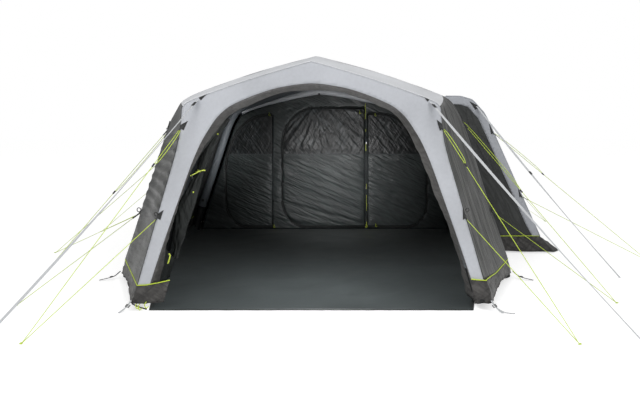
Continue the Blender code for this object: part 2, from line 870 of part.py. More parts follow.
def build_inner_tent(finishes):
    """The inner tent: front wall, three doors, body with floor, and two dividers."""
    inner = finishes["inner"]
    section = full_section(bedroom_depth)
    room = grounded(inset(section, inner_inset), 0.0)
    front = behind(bedroom_depth)
    holes = []
    for name, sizes in (("left", left_door), ("middle", middle_door), ("right", right_door)):
        spot = (sizes[0], front, 0.0)
        holes.append(bedroom_door(*sizes, grow=door_clearance))
        leaf = bedroom_door(*sizes, hinge_gap=door_hinge_clearance)
        door = folded_cloth("bedroom_door_" + name, room, spot, inner)
        cut(door, leaf, spot, "INTERSECT", inner)
        hang(door, "hinge_" + name, spot)
    spot = (0.0, front, 0.0)
    wall = folded_cloth("bedroom_front_wall", room, spot, inner)
    cut(wall, room, spot, "INTERSECT", inner)
    for hole in holes:
        cut(wall, hole, spot, "DIFFERENCE", inner)

    lining = grounded(inset(room, cloth), cloth)
    start = front + cloth + seam
    end = behind(body_length) - inner_rear_space
    shell = bmesh.new()
    outer_front = [shell.verts.new((x, start, z)) for x, z in room]
    outer_rear = [shell.verts.new((x, end, z)) for x, z in room]
    inner_front = [shell.verts.new((x, start, z)) for x, z in lining]
    inner_rear = [shell.verts.new((x, end - cloth, z)) for x, z in lining]
    count = len(room)
    for index in range(count):
        after = (index + 1) % count
        shell.faces.new((outer_front[index], outer_front[after], outer_rear[after], outer_rear[index]))
        shell.faces.new((inner_front[after], inner_front[index], inner_rear[index], inner_rear[after]))
        shell.faces.new((outer_front[after], outer_front[index], inner_front[index], inner_front[after]))
    shell.faces.new(outer_rear)
    shell.faces.new(list(reversed(inner_rear)))
    bmesh.ops.recalc_face_normals(shell, faces=shell.faces)
    mesh = bpy.data.meshes.new("inner_tent")
    shell.to_mesh(mesh)
    shell.free()
    smooth(place("inner_tent", mesh, inner))

    half = [point for point in lining if point[0] >= 0.0]
    for name, middle in (("divider_left", divider_left_x), ("divider_right", divider_right_x)):
        far = abs(middle) + cloth
        ceiling = z_at(half, far) - seam
        low = (middle - cloth / 2, start + seam, cloth + seam)
        high = (middle + cloth / 2, end - cloth - seam, ceiling)
        place(name, box_mesh(name, low, high), inner)


def hang(piece, name, axis_point):
    """Parent a door to an empty on its hinge line."""
    hinge = bpy.data.objects.new(name, None)
    hinge.location = axis_point
    bpy.context.collection.objects.link(hinge)
    piece.parent = hinge
    piece.location = (0.0, 0.0, 0.0)


def fold_share(x, z, room):
    """How freely the wall's cloth folds at a point: not at its rim, a hinge line, or above the seam."""
    still = [abs(abs(x) - x_at(room, z)), fold_seam_z - z, z - fold_foot_z]
    still += [abs(x - line) for line in (left_door_hinge_x, middle_door_hinge_x, right_door_hinge_x)]
    free = min(max(min(still) / fold_hold, 0.0), 1.0)
    return free * free * (3 - 2 * free)


def folded_cloth(name, room, origin, finish):
    """The front wall's cloth with its main folds, larger than the room, counted from an origin."""
    half_room = [(x, z) for x, z in room if x >= 0.0]
    reach = half_room[-1][0] + cutter_reach
    marks = [
        -reach, left_door_hinge_x - fold_hold, left_door_hinge_x, left_door_hinge_x + fold_hold,
        middle_door_hinge_x - fold_hold, middle_door_hinge_x, right_door_hinge_x,
        right_door_hinge_x + fold_hold, reach,
    ]
    columns = [-reach]
    for start, end in zip(marks, marks[1:]):
        parts = math.ceil((end - start) / fold_column_width)
        columns += [blend(start, end, (part + 1) / parts) for part in range(parts)]
    low = -fold_low_slope * reach - cutter_reach
    high = fold_seam_z + fold_high_slope * reach
    rows = math.ceil((high - low) / fold_pitch) * fold_steps
    levels = [low + fold_pitch * row / fold_steps for row in range(rows + 1)]
    levels.append(half_room[0][1] + fold_high_slope * reach + cutter_reach)
    front = []
    back = []
    for level in levels:
        climb = min(max(level / fold_seam_z, 0.0), 1.0)
        slope = blend(fold_low_slope, fold_high_slope, climb)
        wave = (1 + math.sin(2 * math.pi * level / fold_pitch)) / 2
        line = []
        for x in columns:
            z = level - slope * x
            y = -fold_depth * wave * fold_share(x, z, half_room)
            line.append((x - origin[0], y, z))
        front.append(line)
        back.append([(x, y + cloth, z) for x, y, z in line])
    return place(name, slab_mesh(name, front, back), finish, origin)


def prism_mesh(name, outline):
    """An upright prism over an outline in X and Z, deep enough to cut the folded wall."""
    count = len(outline)
    points = [(x, y, z) for y in (-cutter_reach, cutter_reach) for x, z in outline]
    faces = [list(range(count)), list(range(2 * count - 1, count - 1, -1))]
    for index in range(count):
        after = (index + 1) % count
        faces.append([index, after, count + after, count + index])
    return mesh_from(name, points, faces)


def cut(thing, outline, origin, operation, finish):
    """Trim a piece to an outline, or cut the outline out of it."""
    local = [(x - origin[0], z) for x, z in outline]
    cutter = helper("cutter", prism_mesh("cutter", local), (0.0, 0.0, 0.0), finish)
    cutter.parent = thing
    boolean(thing, cutter, operation)


def box_mesh(name, low, high):
    """A box between two corners."""
    shape = bmesh.new()
    bmesh.ops.create_cube(shape, size=1.0)
    for corner in shape.verts:
        corner.co = [blend(a, b, c + 0.5) for a, b, c in zip(low, high, corner.co)]
    mesh = bpy.data.meshes.new(name)
    shape.to_mesh(mesh)
    shape.free()
    return mesh


def build_sliders(finish):
    """Two zip sliders on the straight zip between the middle and the right bedroom."""
    x = (middle_door_hinge_x + right_door_hinge_x) / 2
    y = behind(bedroom_depth) - seam
    half_width = slider_width / 2
    half_length = slider_length / 2
    for name, z in (("zip_slider_upper", upper_slider_z), ("zip_slider_lower", lower_slider_z)):
        low = (-half_width, -slider_thickness, -half_length)
        high = (half_width, 0.0, half_length)
        place(name, box_mesh(name, low, high), finish, (x, y, z))


def build_curtain(finish):
    """The front door panel, rolled up and tied along the left side of the arch."""
    line = arch_outline(1.0)
    half = [(-x, z) for x, z in line if x <= 0.0]
    half.sort(key=lambda point: -point[1])
    rings = []
    for row in range(curtain_rows):
        share = row / (curtain_rows - 1)
        z = blend(curtain_top_z, curtain_foot_z, share)
        x = -x_at(half, z)
        swell = x_at(curtain_swell_shares, 1 - share)
        ring = []
        for side in range(curtain_sides):
            angle = 2 * math.pi * side / curtain_sides
            fold = 1 + curtain_fold_share * math.cos(curtain_folds * angle)
            radius = curtain_radius * fold * swell
            ring.append((x + radius * math.cos(angle), radius * math.sin(angle), z))
        rings.append(ring)
    nearest = min(point[1] for ring in rings for point in ring)
    seat = (0.0, behind(return_depth) + seam - nearest, 0.0)
    smooth(place("door_curtain", tube_mesh("door_curtain", rings), finish, seat))


def smooth_line(route):
    """Points along a smooth curve through a route's own points."""
    route = [Vector(point) for point in route]
    padded = [2 * route[0] - route[1]] + route + [2 * route[-1] - route[-2]]
    fine = []
    for a, b, c, d in zip(padded, padded[1:], padded[2:], padded[3:]):
        for step in range(guy_steps):
            t = step / guy_steps
            square = 2 * a - 5 * b + 4 * c - d
            cube = 3 * b - a - 3 * c + d
            fine.append(0.5 * (2 * b + (c - a) * t + square * t * t + cube * t ** 3))
    fine.append(route[-1])
    return fine


def cord_object(name, points, radius, finish):
    """A cord as a round tube along its points."""
    curve = bpy.data.curves.new(name, "CURVE")
    curve.dimensions = "3D"
    curve.bevel_depth = radius
    curve.bevel_resolution = 2
    curve.use_fill_caps = True
    spline = curve.splines.new("POLY")
    spline.points.add(len(points) - 1)
    for point, place_at in zip(spline.points, points):
        point.co = (*place_at, 1.0)
    curve.materials.append(finish)
    thing = bpy.data.objects.new(name, curve)
    bpy.context.collection.objects.link(thing)
    return thing


def peg_loop(upper, peg, lower):
    """A guy's route: down to the peg, round it, and back up to the lower point."""
    pull = (upper + lower) / 2 - peg
    pull.z = 0.0
    pull.normalize()
    side = Vector((-pull.y, pull.x, 0.0)) * peg_loop_radius
    back = pull * peg_loop_radius
    diagonal = math.sqrt(0.5)
    route = [upper] + [upper.lerp(peg, share) for share in guy_down_shares]
    route += [peg + side, peg + (side - back) * diagonal, peg - back]
    route += [peg - (side + back) * diagonal, peg - side]
    route += [peg.lerp(lower, share) for share in guy_up_shares] + [lower]
    return route


def side_point(side, depth, height):
    """A point just outside the fly's side wall."""
    section = inset(half_section(depth), -(seam + guy_radius))
    return (side * x_at(section, height), behind(depth), height)


def wing_point(depth, height):
    """A point just outside the wing's corner edge."""
    low = wing_plane(0.0, 0.0)
    share = (height - low.z) / (wing_corner_z - low.z)
    x = blend(low.x, wing_corner_x, share) + guy_radius + 2 * seam
    return (x, behind(depth), height)


def guy_table():
    """Each guy line: name, upper point, lower point, peg, and its runner's share of the upper run."""
    _, canopy, middle, bedroom, _ = beam_depths
    front_heights = (upper_guy_height, front_lower_guy_height)
    side_heights = (upper_guy_height, lower_guy_height)
    right_heights = (canopy_right_guy_height, lower_guy_height)
    table = []
    for name, side, depth, heights, peg, runner_share in (
        ("guy_front_left", -1, 0.0, front_heights, peg_front_left, front_runner_share),
        ("guy_front_right", 1, 0.0, front_heights, peg_front_right, front_runner_share),
        ("guy_canopy_left", -1, canopy, side_heights, peg_canopy_left, canopy_left_runner_share),
        ("guy_canopy_right", 1, canopy, right_heights, peg_canopy_right, canopy_right_runner_share),
        ("guy_middle_left", -1, middle, side_heights, peg_middle_left, None),
        ("guy_bedroom_left", -1, bedroom, side_heights, peg_bedroom_left, None),
    ):
        ends = [side_point(side, depth, height) for height in heights]
        table.append((name, *ends, peg, runner_share))
    for name, depth, peg, runner_share in (
        ("guy_wing_front", wing_start, peg_wing_front, wing_runner_share),
        ("guy_wing_rear", wing_end, peg_wing_rear, None),
    ):
        ends = [wing_point(depth, height) for height in (wing_guy_height, lower_guy_height)]
        table.append((name, *ends, peg, runner_share))
    return table


def build_guys(finishes):
    """Guy lines, and a runner on the upper run of five of them."""
    for name, upper, lower, peg, share in guy_table():
        spot = Vector((peg[0], behind(peg[1]), guy_radius + seam))
        points = smooth_line(peg_loop(Vector(upper), spot, Vector(lower)))
        for point in points:
            point.z = max(point.z, spot.z)
        cord_object(name, points, guy_radius, finishes["guy"])
        if share is not None:
            run = spot - Vector(upper)
            middle = Vector(upper) + run * share
            runner(name.replace("guy", "runner"), middle, run.normalized(), finishes["plastic"])


def runner(name, spot, along, finish):
    """A short round runner with the cord through its bore."""
    outer = []
    inner = []
    bore = guy_radius + runner_bore_clearance
    for end in (-0.5, 0.5):
        rings = [[], []]
        for side in range(runner_sides):
            angle = 2 * math.pi * side / runner_sides
            for ring, radius in zip(rings, (runner_radius, bore)):
                ring.append((radius * math.cos(angle), radius * math.sin(angle), end * runner_length))
        outer.append(rings[0])
        inner.append(rings[1])
    thing = place(name, pipe_mesh(name, outer, inner), finish, spot)
    thing.rotation_mode = "QUATERNION"
    thing.rotation_quaternion = along.to_track_quat("Z", "Y")
    smooth(thing)


def strap(name, start, end, finish):
    """A flat storm strap that hangs in a shallow curve, its upper end against a wall's front."""
    start = Vector(start)
    end = Vector(end)
    along = (end - start).normalized()
    across = along.cross(Vector((0.0, 0.0, 1.0))).normalized() * (strap_width / 2)
    normal = along.cross(across).normalized() * (strap_thickness / 2)
    start.y -= seam + abs(across.y) + abs(normal.y)
    outer = []
    inner = []
    for step in range(strap_points):
        share = step / (strap_points - 1)
        spot = start.lerp(end, share) - Vector((0.0, 0.0, 4 * strap_sag * share * (1 - share)))
        outer.append([spot - across + normal, spot + across + normal])
        inner.append([spot - across - normal, spot + across - normal])
    place(name, slab_mesh(name, outer, inner), finish)


def build_straps(finish):
    """Two storm straps at the front and one at the wing."""
    wing_start_y = behind(wing_start)
    fronts = (
        ("storm_strap_left", -1, strap_patch_left_x, strap_peg_left),
        ("storm_strap_right", 1, strap_patch_right_x, strap_peg_right),
    )
    for name, side, x, peg in fronts:
        top = z_at(half_section(0.0), x) - strap_width
        strap(name, (side * x, behind(0.0), top), (peg[0], behind(peg[1]), strap_width / 2), finish)
    peg = (strap_peg_wing[0], behind(strap_peg_wing[1]), strap_width / 2)
    strap("storm_strap_wing", (wing_strap_patch[0], wing_start_y, wing_strap_patch[1]), peg, finish)


def build_tent():
    """Model every sub-part."""
    clear_scene()
    finishes = {
        "light": material("light_cloth", (0.5, 0.52, 0.55), 0.75),
        "dark": material("dark_cloth", (0.09, 0.095, 0.093), 0.7),
        "return": material("return_cloth", (0.16, 0.15, 0.14), 0.75),
        "skirt": material("skirt_cloth", (0.11, 0.105, 0.1), 0.7),
        "sheet": material("groundsheet_cloth", (0.035, 0.042, 0.045), 0.55),
        "inner": material("inner_cloth", (0.03, 0.036, 0.038), 0.6),
        "sleeve": material("sleeve_cloth", (0.12, 0.14, 0.16), 0.6),
        "bladder": material("bladder_film", (0.6, 0.62, 0.62), 0.3),
        "plastic": material("black_plastic", (0.02, 0.02, 0.02), 0.45),
        "metal": material("slider_metal", (0.3, 0.3, 0.3), 0.35, 1.0),
        "guy": material("guy_cord", (0.45, 0.62, 0.08), 0.7),
        "webbing": material("strap_webbing", (0.45, 0.47, 0.48), 0.7),
    }
    build_fly(finishes)
    build_arch_return(finishes["return"])
    build_beams(finishes)
    build_wing(finishes)
    build_skirts(finishes["skirt"])
    build_groundsheet(finishes["sheet"])
    build_inner_tent(finishes)
    build_sliders(finishes["metal"])
    build_curtain(finishes["return"])
    build_guys(finishes)
    build_straps(finishes["webbing"])


build_tent()
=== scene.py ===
"""Dressed look of an inflatable tunnel tent. Metres, +Z up, the tent faces -Y."""

import math

import bmesh
import bpy
from mathutils import Matrix, Vector, noise
from mathutils.bvhtree import BVHTree


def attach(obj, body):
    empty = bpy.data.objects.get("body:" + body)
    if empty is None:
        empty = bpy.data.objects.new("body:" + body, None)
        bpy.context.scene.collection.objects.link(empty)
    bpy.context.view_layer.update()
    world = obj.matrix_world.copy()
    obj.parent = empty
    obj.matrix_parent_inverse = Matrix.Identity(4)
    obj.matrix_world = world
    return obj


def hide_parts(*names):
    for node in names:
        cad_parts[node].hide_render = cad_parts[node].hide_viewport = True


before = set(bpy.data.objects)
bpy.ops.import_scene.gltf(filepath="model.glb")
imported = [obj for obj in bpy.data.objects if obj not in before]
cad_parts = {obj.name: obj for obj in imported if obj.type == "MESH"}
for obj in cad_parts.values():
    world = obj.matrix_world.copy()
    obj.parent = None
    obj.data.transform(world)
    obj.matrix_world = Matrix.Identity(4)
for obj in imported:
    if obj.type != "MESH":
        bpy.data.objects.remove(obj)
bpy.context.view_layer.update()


def scaled(width, height, profile_shares):
    return [(width * a, height * b) for a, b in profile_shares]


# Lengths, depths behind the front plane, and half profiles as (x, z) from the ridge to the foot
LENGTH = 6.2
CANOPY = 1.08
BEDROOM = 4.12
WING_START = 2.4
WING_END = 4.08
FRONT = scaled(1.545, 2.12, (
    (0.0, 1.0), (0.343, 0.927), (0.66, 0.845), (0.712, 0.821), (0.715, 0.755),
    (0.735, 0.651), (0.819, 0.443), (0.955, 0.099), (1.0, 0.0)))
MAIN = scaled(2.0, 2.28, (
    (0.0, 1.0), (0.31, 0.928), (0.63, 0.829), (0.693, 0.794), (0.75, 0.702),
    (0.79, 0.596), (0.855, 0.417), (0.978, 0.0877), (1.0, 0.0)))
ARCH = scaled(1.43, 1.932, (
    (0.0, 1.0), (0.21, 0.976), (0.36, 0.938), (0.49, 0.895), (0.566, 0.844),
    (0.65, 0.745), (0.706, 0.652), (0.783, 0.492), (0.865, 0.32), (0.951, 0.129), (1.0, 0.0)))
WING = ((1.24, 1.925), (1.72, 1.925), (1.87, 1.88), (2.03, 1.7), (2.7, 0.199956))
SHOULDER = 3
PIPING = 7
FOOT = 8.0
BEAMS = (0.0613, 1.1413, 2.4613, 4.0617, 6.1417)
BEAM_INSET = 0.0613
BEAM_RADIUS = 0.058
WRAP = 0.008
CLOTH = 0.0015
WALL_Y = 1.02
SEAM_Z = 1.13


def behind(depth):
    return depth - LENGTH / 2


FRONT_Y = behind(0.0)
WING_FRONT_Y = behind(WING_START)
WING_REAR_Y = behind(WING_END)


def lerp(a, b, t):
    return a + (b - a) * t


def shares(count):
    """Even steps from 0 to 1."""
    return [k / (count - 1) for k in range(count)]


def soft_step(low, high, value):
    t = min(max((value - low) / (high - low), 0.0), 1.0)
    return t * t * (3 - 2 * t)


# Camera: the photograph's eye point, with a level view and the frame's small shift

PHOTO_WIDTH = 640
camera = bpy.data.objects.new("camera", bpy.data.cameras.new("camera"))
bpy.context.scene.collection.objects.link(camera)
camera.location = (0.26, -8.36, 1.57)
camera.rotation_euler = (math.pi / 2, 0.0, 0.0)
camera.data.sensor_width = 36.0
camera.data.lens = 34.93
camera.data.shift_x = -22 / PHOTO_WIDTH
camera.data.shift_y = -75 / PHOTO_WIDTH
bpy.context.scene.camera = camera


# Materials

class Nodes:
    """A small helper that adds and links shader nodes."""

    def __init__(self, name):
        self.material = bpy.data.materials.new(name)
        self.material.use_nodes = True
        self.tree = self.material.node_tree
        self.shader = self.tree.nodes["Principled BSDF"]
        self.place = self.add("ShaderNodeTexCoord").outputs["Object"]

    def add(self, kind, **values):
        node = self.tree.nodes.new(kind)
        for key, value in values.items():
            if key in node.inputs:
                node.inputs[key].default_value = value
            else:
                setattr(node, key, value)
        return node

    def link(self, source, target):
        self.tree.links.new(source, target)

    def put(self, **sockets):
        """Set or link the shader's own sockets; a low line in a name stands for a space."""
        for key, value in sockets.items():
            socket = self.shader.inputs[key.replace("_", " ")]
            if isinstance(value, bpy.types.NodeSocket):
                self.link(value, socket)
            else:
                socket.default_value = value
        return self.material

    def mapped(self, scale, turn=(0.0, 0.0, 0.0), source=None):
        node = self.add("ShaderNodeMapping", Scale=scale, Rotation=turn)
        self.link(source or self.place, node.inputs["Vector"])
        return node.outputs[0]

    def noise(self, scale, detail=2.0, where=None, rough=0.5):
        node = self.add("ShaderNodeTexNoise", Scale=scale, Detail=detail, Roughness=rough)
        self.link(where or self.place, node.inputs["Vector"])
        return node.outputs["Fac"]

    def wave(self, scale, axis="X", where=None, distortion=0.0):
        node = self.add("ShaderNodeTexWave", Scale=scale, Distortion=distortion)
        node.bands_direction = axis
        self.link(where or self.place, node.inputs["Vector"])
        return node.outputs["Fac"]

    def ramp(self, value, *stops):
        node = self.add("ShaderNodeValToRGB")
        for element, (at, colour) in zip(node.color_ramp.elements, stops):
            element.position = at
            element.color = (*colour, 1.0)
        self.link(value, node.inputs["Fac"])
        return node.outputs["Color"]

    def math(self, operation, a, b=0.0):
        node = self.add("ShaderNodeMath", operation=operation)
        for socket, value in zip(node.inputs, (a, b)):
            if isinstance(value, (int, float)):
                socket.default_value = value
            else:
                self.link(value, socket)
        return node.outputs[0]

    def bump(self, height, strength, distance, before=None):
        node = self.add("ShaderNodeBump", Strength=strength, Distance=distance)
        self.link(height, node.inputs["Height"])
        if before is not None:
            self.link(before, node.inputs["Normal"])
        return node.outputs["Normal"]


def shade(colour, factor):
    return tuple(min(c * factor, 1.0) for c in colour)


def cloth(name, colour, rough=0.6, crease=0.35, grain=(1.0, 1.0, 1.0), sheen=0.03, spread=0.12, weave=0.12,
          gloss=0.25, pulls=(), crest_shade=0.0):
    """Coated woven tent cloth: fine weave, slack creases and slight colour variation.

    Each of the pulls is a set of drawn fold lines: its turn in degrees, its stretch and its depth.
    Crest shade is painted shade: it darkens the base colour along their crests.
    """
    n = Nodes(name)
    large = n.noise(1.6, 3.0)
    mixed = n.math("ADD", n.math("MULTIPLY", large, 0.75), n.math("MULTIPLY", n.noise(38.0, 4.0), 0.25))
    base = n.ramp(mixed, (0.3, shade(colour, 1 - spread)), (0.7, shade(colour, 1 + spread)))
    where = n.mapped(grain)
    normal = n.bump(n.noise(5.5, 3.0, where, 0.55), crease, 0.03)
    normal = n.bump(n.noise(26.0, 2.0, where, 0.5), crease * 0.6, 0.004, normal)
    for turn, stretch, strength in pulls:
        turned = n.mapped((1.0, 1.0, 1.0), tuple(math.radians(a) for a in turn))
        lines = n.noise(1.0, 2.0, n.mapped(stretch, source=turned), 0.55)
        off = n.math("ABSOLUTE", n.math("SUBTRACT", lines, 0.5))
        crest = n.math("SUBTRACT", 1.0, n.math("MULTIPLY", off, 5.0))
        crest = n.math("POWER", n.math("MAXIMUM", crest, 0.0), 1.6)
        normal = n.bump(crest, strength, 0.008, normal)
        # Painted shade: the crests of the fold lines are darkened in the base colour.
        if crest_shade:
            shaded_crests = n.add("ShaderNodeMix", data_type="RGBA", blend_type="MULTIPLY")
            n.link(n.math("MULTIPLY", crest, crest_shade), shaded_crests.inputs["Factor"])
            n.link(base, shaded_crests.inputs[6])
            shaded_crests.inputs[7].default_value = (0.0, 0.0, 0.0, 1.0)
            base = shaded_crests.outputs[2]
    cross = n.math("ADD", n.wave(520.0, "X"), n.wave(520.0, "Z"))
    dull = n.ramp(large, (0.3, (rough - 0.07,) * 3), (0.7, (rough + 0.07,) * 3))
    return n.put(Base_Color=base, Roughness=dull, Specular_IOR_Level=gloss, Sheen_Weight=sheen,
                 Sheen_Roughness=0.45, Normal=n.bump(cross, weave, 0.0006, normal))


def satin(name, colour, rough, crease, grain, crest_shade, *pulls, gloss=0.22):
    """Dark coated cloth with drawn fold lines and painted shade along their crests."""
    return cloth(name, colour, rough, crease, grain, 0.0, gloss=gloss, pulls=pulls, crest_shade=crest_shade)


def patterned(n, pattern, colour, low, high, rough, strength, distance, **sockets):
    """A colour shaded between two (place, factor) stops of a pattern that also stands out a little."""
    base = n.ramp(pattern, (low[0], shade(colour, low[1])), (high[0], shade(colour, high[1])))
    return n.put(Base_Color=base, Roughness=rough, Normal=n.bump(pattern, strength, distance), **sockets)


def plastic(name, colour, rough=0.42):
    """Moulded plastic with a faint texture."""
    n = Nodes(name)
    return patterned(n, n.noise(900.0, 2.0), colour, (0.3, 0.85), (0.7, 1.2), rough, 0.15, 0.0004)


def metal(name, colour, rough=0.3):
    """Brushed metal."""
    n = Nodes(name)
    brushed = n.noise(60.0, 3.0, n.mapped((1.0, 1.0, 14.0)))
    return patterned(n, brushed, colour, (0.3, 0.8), (0.7, 1.15), rough, 0.1, 0.0005, Metallic=1.0)


def braid(name, colour, rough=0.65):
    """Braided cord: short diagonal strands round the line."""
    n = Nodes(name)
    strand = n.wave(260.0, "DIAGONAL", distortion=1.5)
    return patterned(n, strand, colour, (0.2, 0.7), (0.75, 1.1), rough, 0.4, 0.0006, Sheen_Weight=0.2)


def webbing(name, colour, rough=0.65):
    """Woven strap, ribbed across its width; the ribs follow the strap's own UV."""
    n = Nodes(name)
    flat = n.add("ShaderNodeTexCoord").outputs["UV"]
    ribs = n.wave(160.0, "X", flat)
    sides = n.wave(5.0, "Y", n.mapped((1.0, 30.0, 1.0), source=flat))
    both = n.math("ADD", n.math("MULTIPLY", ribs, 0.6), n.math("MULTIPLY", sides, 0.4))
    return patterned(n, both, colour, (0.2, 0.8), (0.8, 1.1), rough, 0.35, 0.0012, Sheen_Weight=0.15)


def stitched(name, colour, thread, rough=0.65):
    """Seam tape with two rows of stitches along the strip's UV."""
    n = Nodes(name)
    parts = n.add("ShaderNodeSeparateXYZ")
    n.link(n.add("ShaderNodeTexCoord").outputs["UV"], parts.inputs[0])
    dash = n.math("GREATER_THAN", n.math("SINE", n.math("MULTIPLY", parts.outputs["X"], 900.0)), -0.2)
    half = n.math("ABSOLUTE", n.math("SUBTRACT", parts.outputs["Y"], 0.5))
    row = n.math("LESS_THAN", n.math("ABSOLUTE", n.math("SUBTRACT", half, 0.32)), 0.05)
    stitch = n.math("MULTIPLY", dash, row)
    normal = n.bump(n.noise(120.0, 3.0), 0.15, 0.001)
    return n.put(Base_Color=n.ramp(stitch, (0.0, colour), (1.0, thread)), Roughness=rough,
                 Normal=n.bump(stitch, 0.5, 0.001, normal))


# Where a cloth below has a crest shade, that is painted shade along the crests of its fold lines.
light = cloth("light_cloth", (0.475, 0.49, 0.523), 0.62, 0.16, (1.0, 1.0, 0.45))
# Painted light: the fascia's light grey cloth with a lighter base, for the light falling on the roof's upward
# face.
lit_roof_cloth = cloth("roof_cloth", (0.61, 0.622, 0.645), 0.6, 0.16, (1.0, 0.5, 1.0))
wing_light = cloth("wing_light_cloth", (0.385, 0.4, 0.43), 0.6, 0.16, (1.0, 1.0, 0.5))
canopy_cloth = satin("canopy_cloth", (0.028, 0.03, 0.029), 0.42, 0.15, (1.0, 0.5, 2.4), 0.3,
                     ((8.0, 0.0, 0.0), (1.2, 1.0, 8.0), 0.9))
dark = satin("dark_cloth", (0.041, 0.0435, 0.042), 0.42, 0.4, (1.0, 0.5, 1.6), 0.25,
             ((14.0, 0.0, 0.0), (3.0, 2.6, 15.0), 0.42))
right_cloth = satin("canopy_right_cloth", (0.048, 0.0495, 0.0475), 0.44, 0.3, (1.0, 1.6, 0.6), 0.3,
                    ((-6.0, 0.0, 0.0), (2.0, 10.0, 1.1), 0.6))
wing_dark = satin("wing_cloth", (0.046, 0.0485, 0.0475), 0.46, 0.4, (0.6, 1.0, 1.6), 0.35,
                  ((0.0, -62.0, 0.0), (3.0, 3.0, 16.0), 0.4))
valance = cloth("return_cloth", (0.084, 0.081, 0.078), 0.5, 0.5, (1.0, 0.5, 1.0), 0.02, gloss=0.4, crest_shade=0.4,
                pulls=(((0.0, 0.0, 0.0), (13.0, 2.0, 13.0), 0.5),))
curtain_cloth = satin("curtain_cloth", (0.022, 0.0245, 0.0235), 0.5, 0.6, (2.0, 2.0, 0.5), 0.4,
                      ((0.0, 12.0, 0.0), (16.0, 16.0, 2.5), 0.5), gloss=0.2)
skirt_cloth, wing_skirt_cloth = (
    cloth(name, colour, 0.5, 0.5, gloss=0.28, crest_shade=0.5,
          pulls=(((0.0, -35.0, 0.0), (4.0, 4.0, 14.0), 0.7), ((0.0, 40.0, 0.0), (4.0, 4.0, 12.0), 0.55)))
    for name, colour in (("skirt_cloth", (0.094, 0.09, 0.086)), ("wing_skirt_cloth", (0.068, 0.065, 0.062))))
sheet_cloth = cloth("groundsheet_cloth", (0.045, 0.054, 0.055), 0.42, 0.1, sheen=0.05, gloss=0.5)
lining_cloth = cloth("lining_cloth", (0.05, 0.055, 0.057), 0.5, 0.3, sheen=0.1)
window_film = cloth("window_film", (0.03, 0.037, 0.039), 0.42, 0.25, (1.6, 1.0, 1.6), 0.0, spread=0.4,
                    weave=0.02, gloss=0.3, crest_shade=0.8,
                    pulls=(((0.0, -52.0, 0.0), (2.2, 1.0, 13.0), 0.4),
                           ((0.0, 58.0, 0.0), (2.6, 1.0, 15.0), 0.28)))
patch_cloth = cloth("patch_cloth", (0.03, 0.031, 0.031), 0.5, 0.15, weave=0.4)
inner_cloth = satin("inner_cloth", (0.039, 0.0485, 0.0485), 0.46, 0.35, (1.0, 1.0, 1.0), 0.3,
                    ((0.0, -24.0, 0.0), (1.6, 1.0, 17.0), 0.55), ((0.0, -38.0, 0.0), (2.4, 1.0, 12.0), 0.3),
                    gloss=0.4)
boot_cloth = cloth("boot_cloth", (0.008, 0.009, 0.0095), 0.5, 0.4)
# Painted shade: the sleeves' light grey cloth is given a dark base, for the shade inside the tent.
sleeve_cloth = cloth("sleeve_cloth", (0.11, 0.123, 0.135), 0.42, 0.4, sheen=0.05)
# Painted light: the same sleeve cloth with a much lighter base, for the light on the strip below the fourth
# beam.
lit_strip_cloth = cloth("lit_strip_cloth", (0.5, 0.52, 0.55), 0.36, 0.5, (3.0, 1.0, 1.0), 0.0, gloss=0.5)
film = plastic("bladder_film", (0.5, 0.52, 0.52), 0.3)
black = plastic("black_plastic", (0.018, 0.018, 0.018))
steel = metal("slider_metal", (0.3, 0.3, 0.31))
guy_cord = braid("guy_cord", (0.6, 0.77, 0.06))
lime = braid("lime_cord", (0.6, 0.72, 0.06))
zip_tape = cloth("zip_tape", (0.016, 0.018, 0.018), 0.6, 0.1, weave=0.5)
lime_piping = cloth("piping_cloth", (0.55, 0.7, 0.06), 0.55, 0.1, weave=0.3)
grey_webbing = webbing("strap_webbing", (0.56, 0.575, 0.59))
dark_webbing = webbing("dark_webbing", (0.03, 0.032, 0.033))
light_seam = stitched("light_seam", (0.48, 0.49, 0.52), (0.62, 0.63, 0.65))
dark_seam = stitched("dark_seam", (0.07, 0.073, 0.072), (0.16, 0.165, 0.165))
inner_seam = stitched("inner_seam", (0.02, 0.024, 0.026), (0.09, 0.1, 0.1))


# The rigid CAD nodes keep their shapes and get moulded plastic or metal

RUNNERS = ["runner_" + place for place in (
    "front_left", "front_right", "canopy_left", "canopy_right", "wing_front")]
CAPS = ["valve_cap_%d" % n for n in range(1, 6)]
for names, finish in ((RUNNERS + CAPS, black), (["zip_slider_upper", "zip_slider_lower"], steel)):
    for name in names:
        for place in bpy.data.objects[name].material_slots:
            place.material = finish


# Mesh helpers

def link(thing, material, body="tent", nodes=(), slot=None):
    """Put a piece in the scene, riding on its body."""
    bpy.context.scene.collection.objects.link(thing)
    thing.data.materials.append(material)
    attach(thing, body)
    if nodes:
        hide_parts(*nodes)
    return thing


def mesh_object(name, verts, faces, material, uvs=None, smooth=True, **links):
    mesh = bpy.data.meshes.new(name)
    mesh.from_pydata([tuple(v) for v in verts], [], faces)
    if uvs is not None:
        layer = mesh.uv_layers.new(name="UVMap")
        for loop in mesh.loops:
            layer.data[loop.index].uv = uvs[loop.vertex_index]
    mesh.update()
    if smooth:
        mesh.shade_smooth()
    return link(bpy.data.objects.new(name, mesh), material, **links)


def thicken(thing, thickness=CLOTH, offset=-1.0, lining=None):
    step = thing.modifiers.new("thickness", "SOLIDIFY")
    step.thickness = thickness
    step.offset = offset
    if lining is not None:
        thing.data.materials.append(lining)
        step.material_offset = 1
        step.material_offset_rim = 1
    return thing


def sewn(thing, thickness=CLOTH, offset=-1.0, lining=None):
    """Give a piece its thickness."""
    return thicken(thing, thickness, offset, lining)


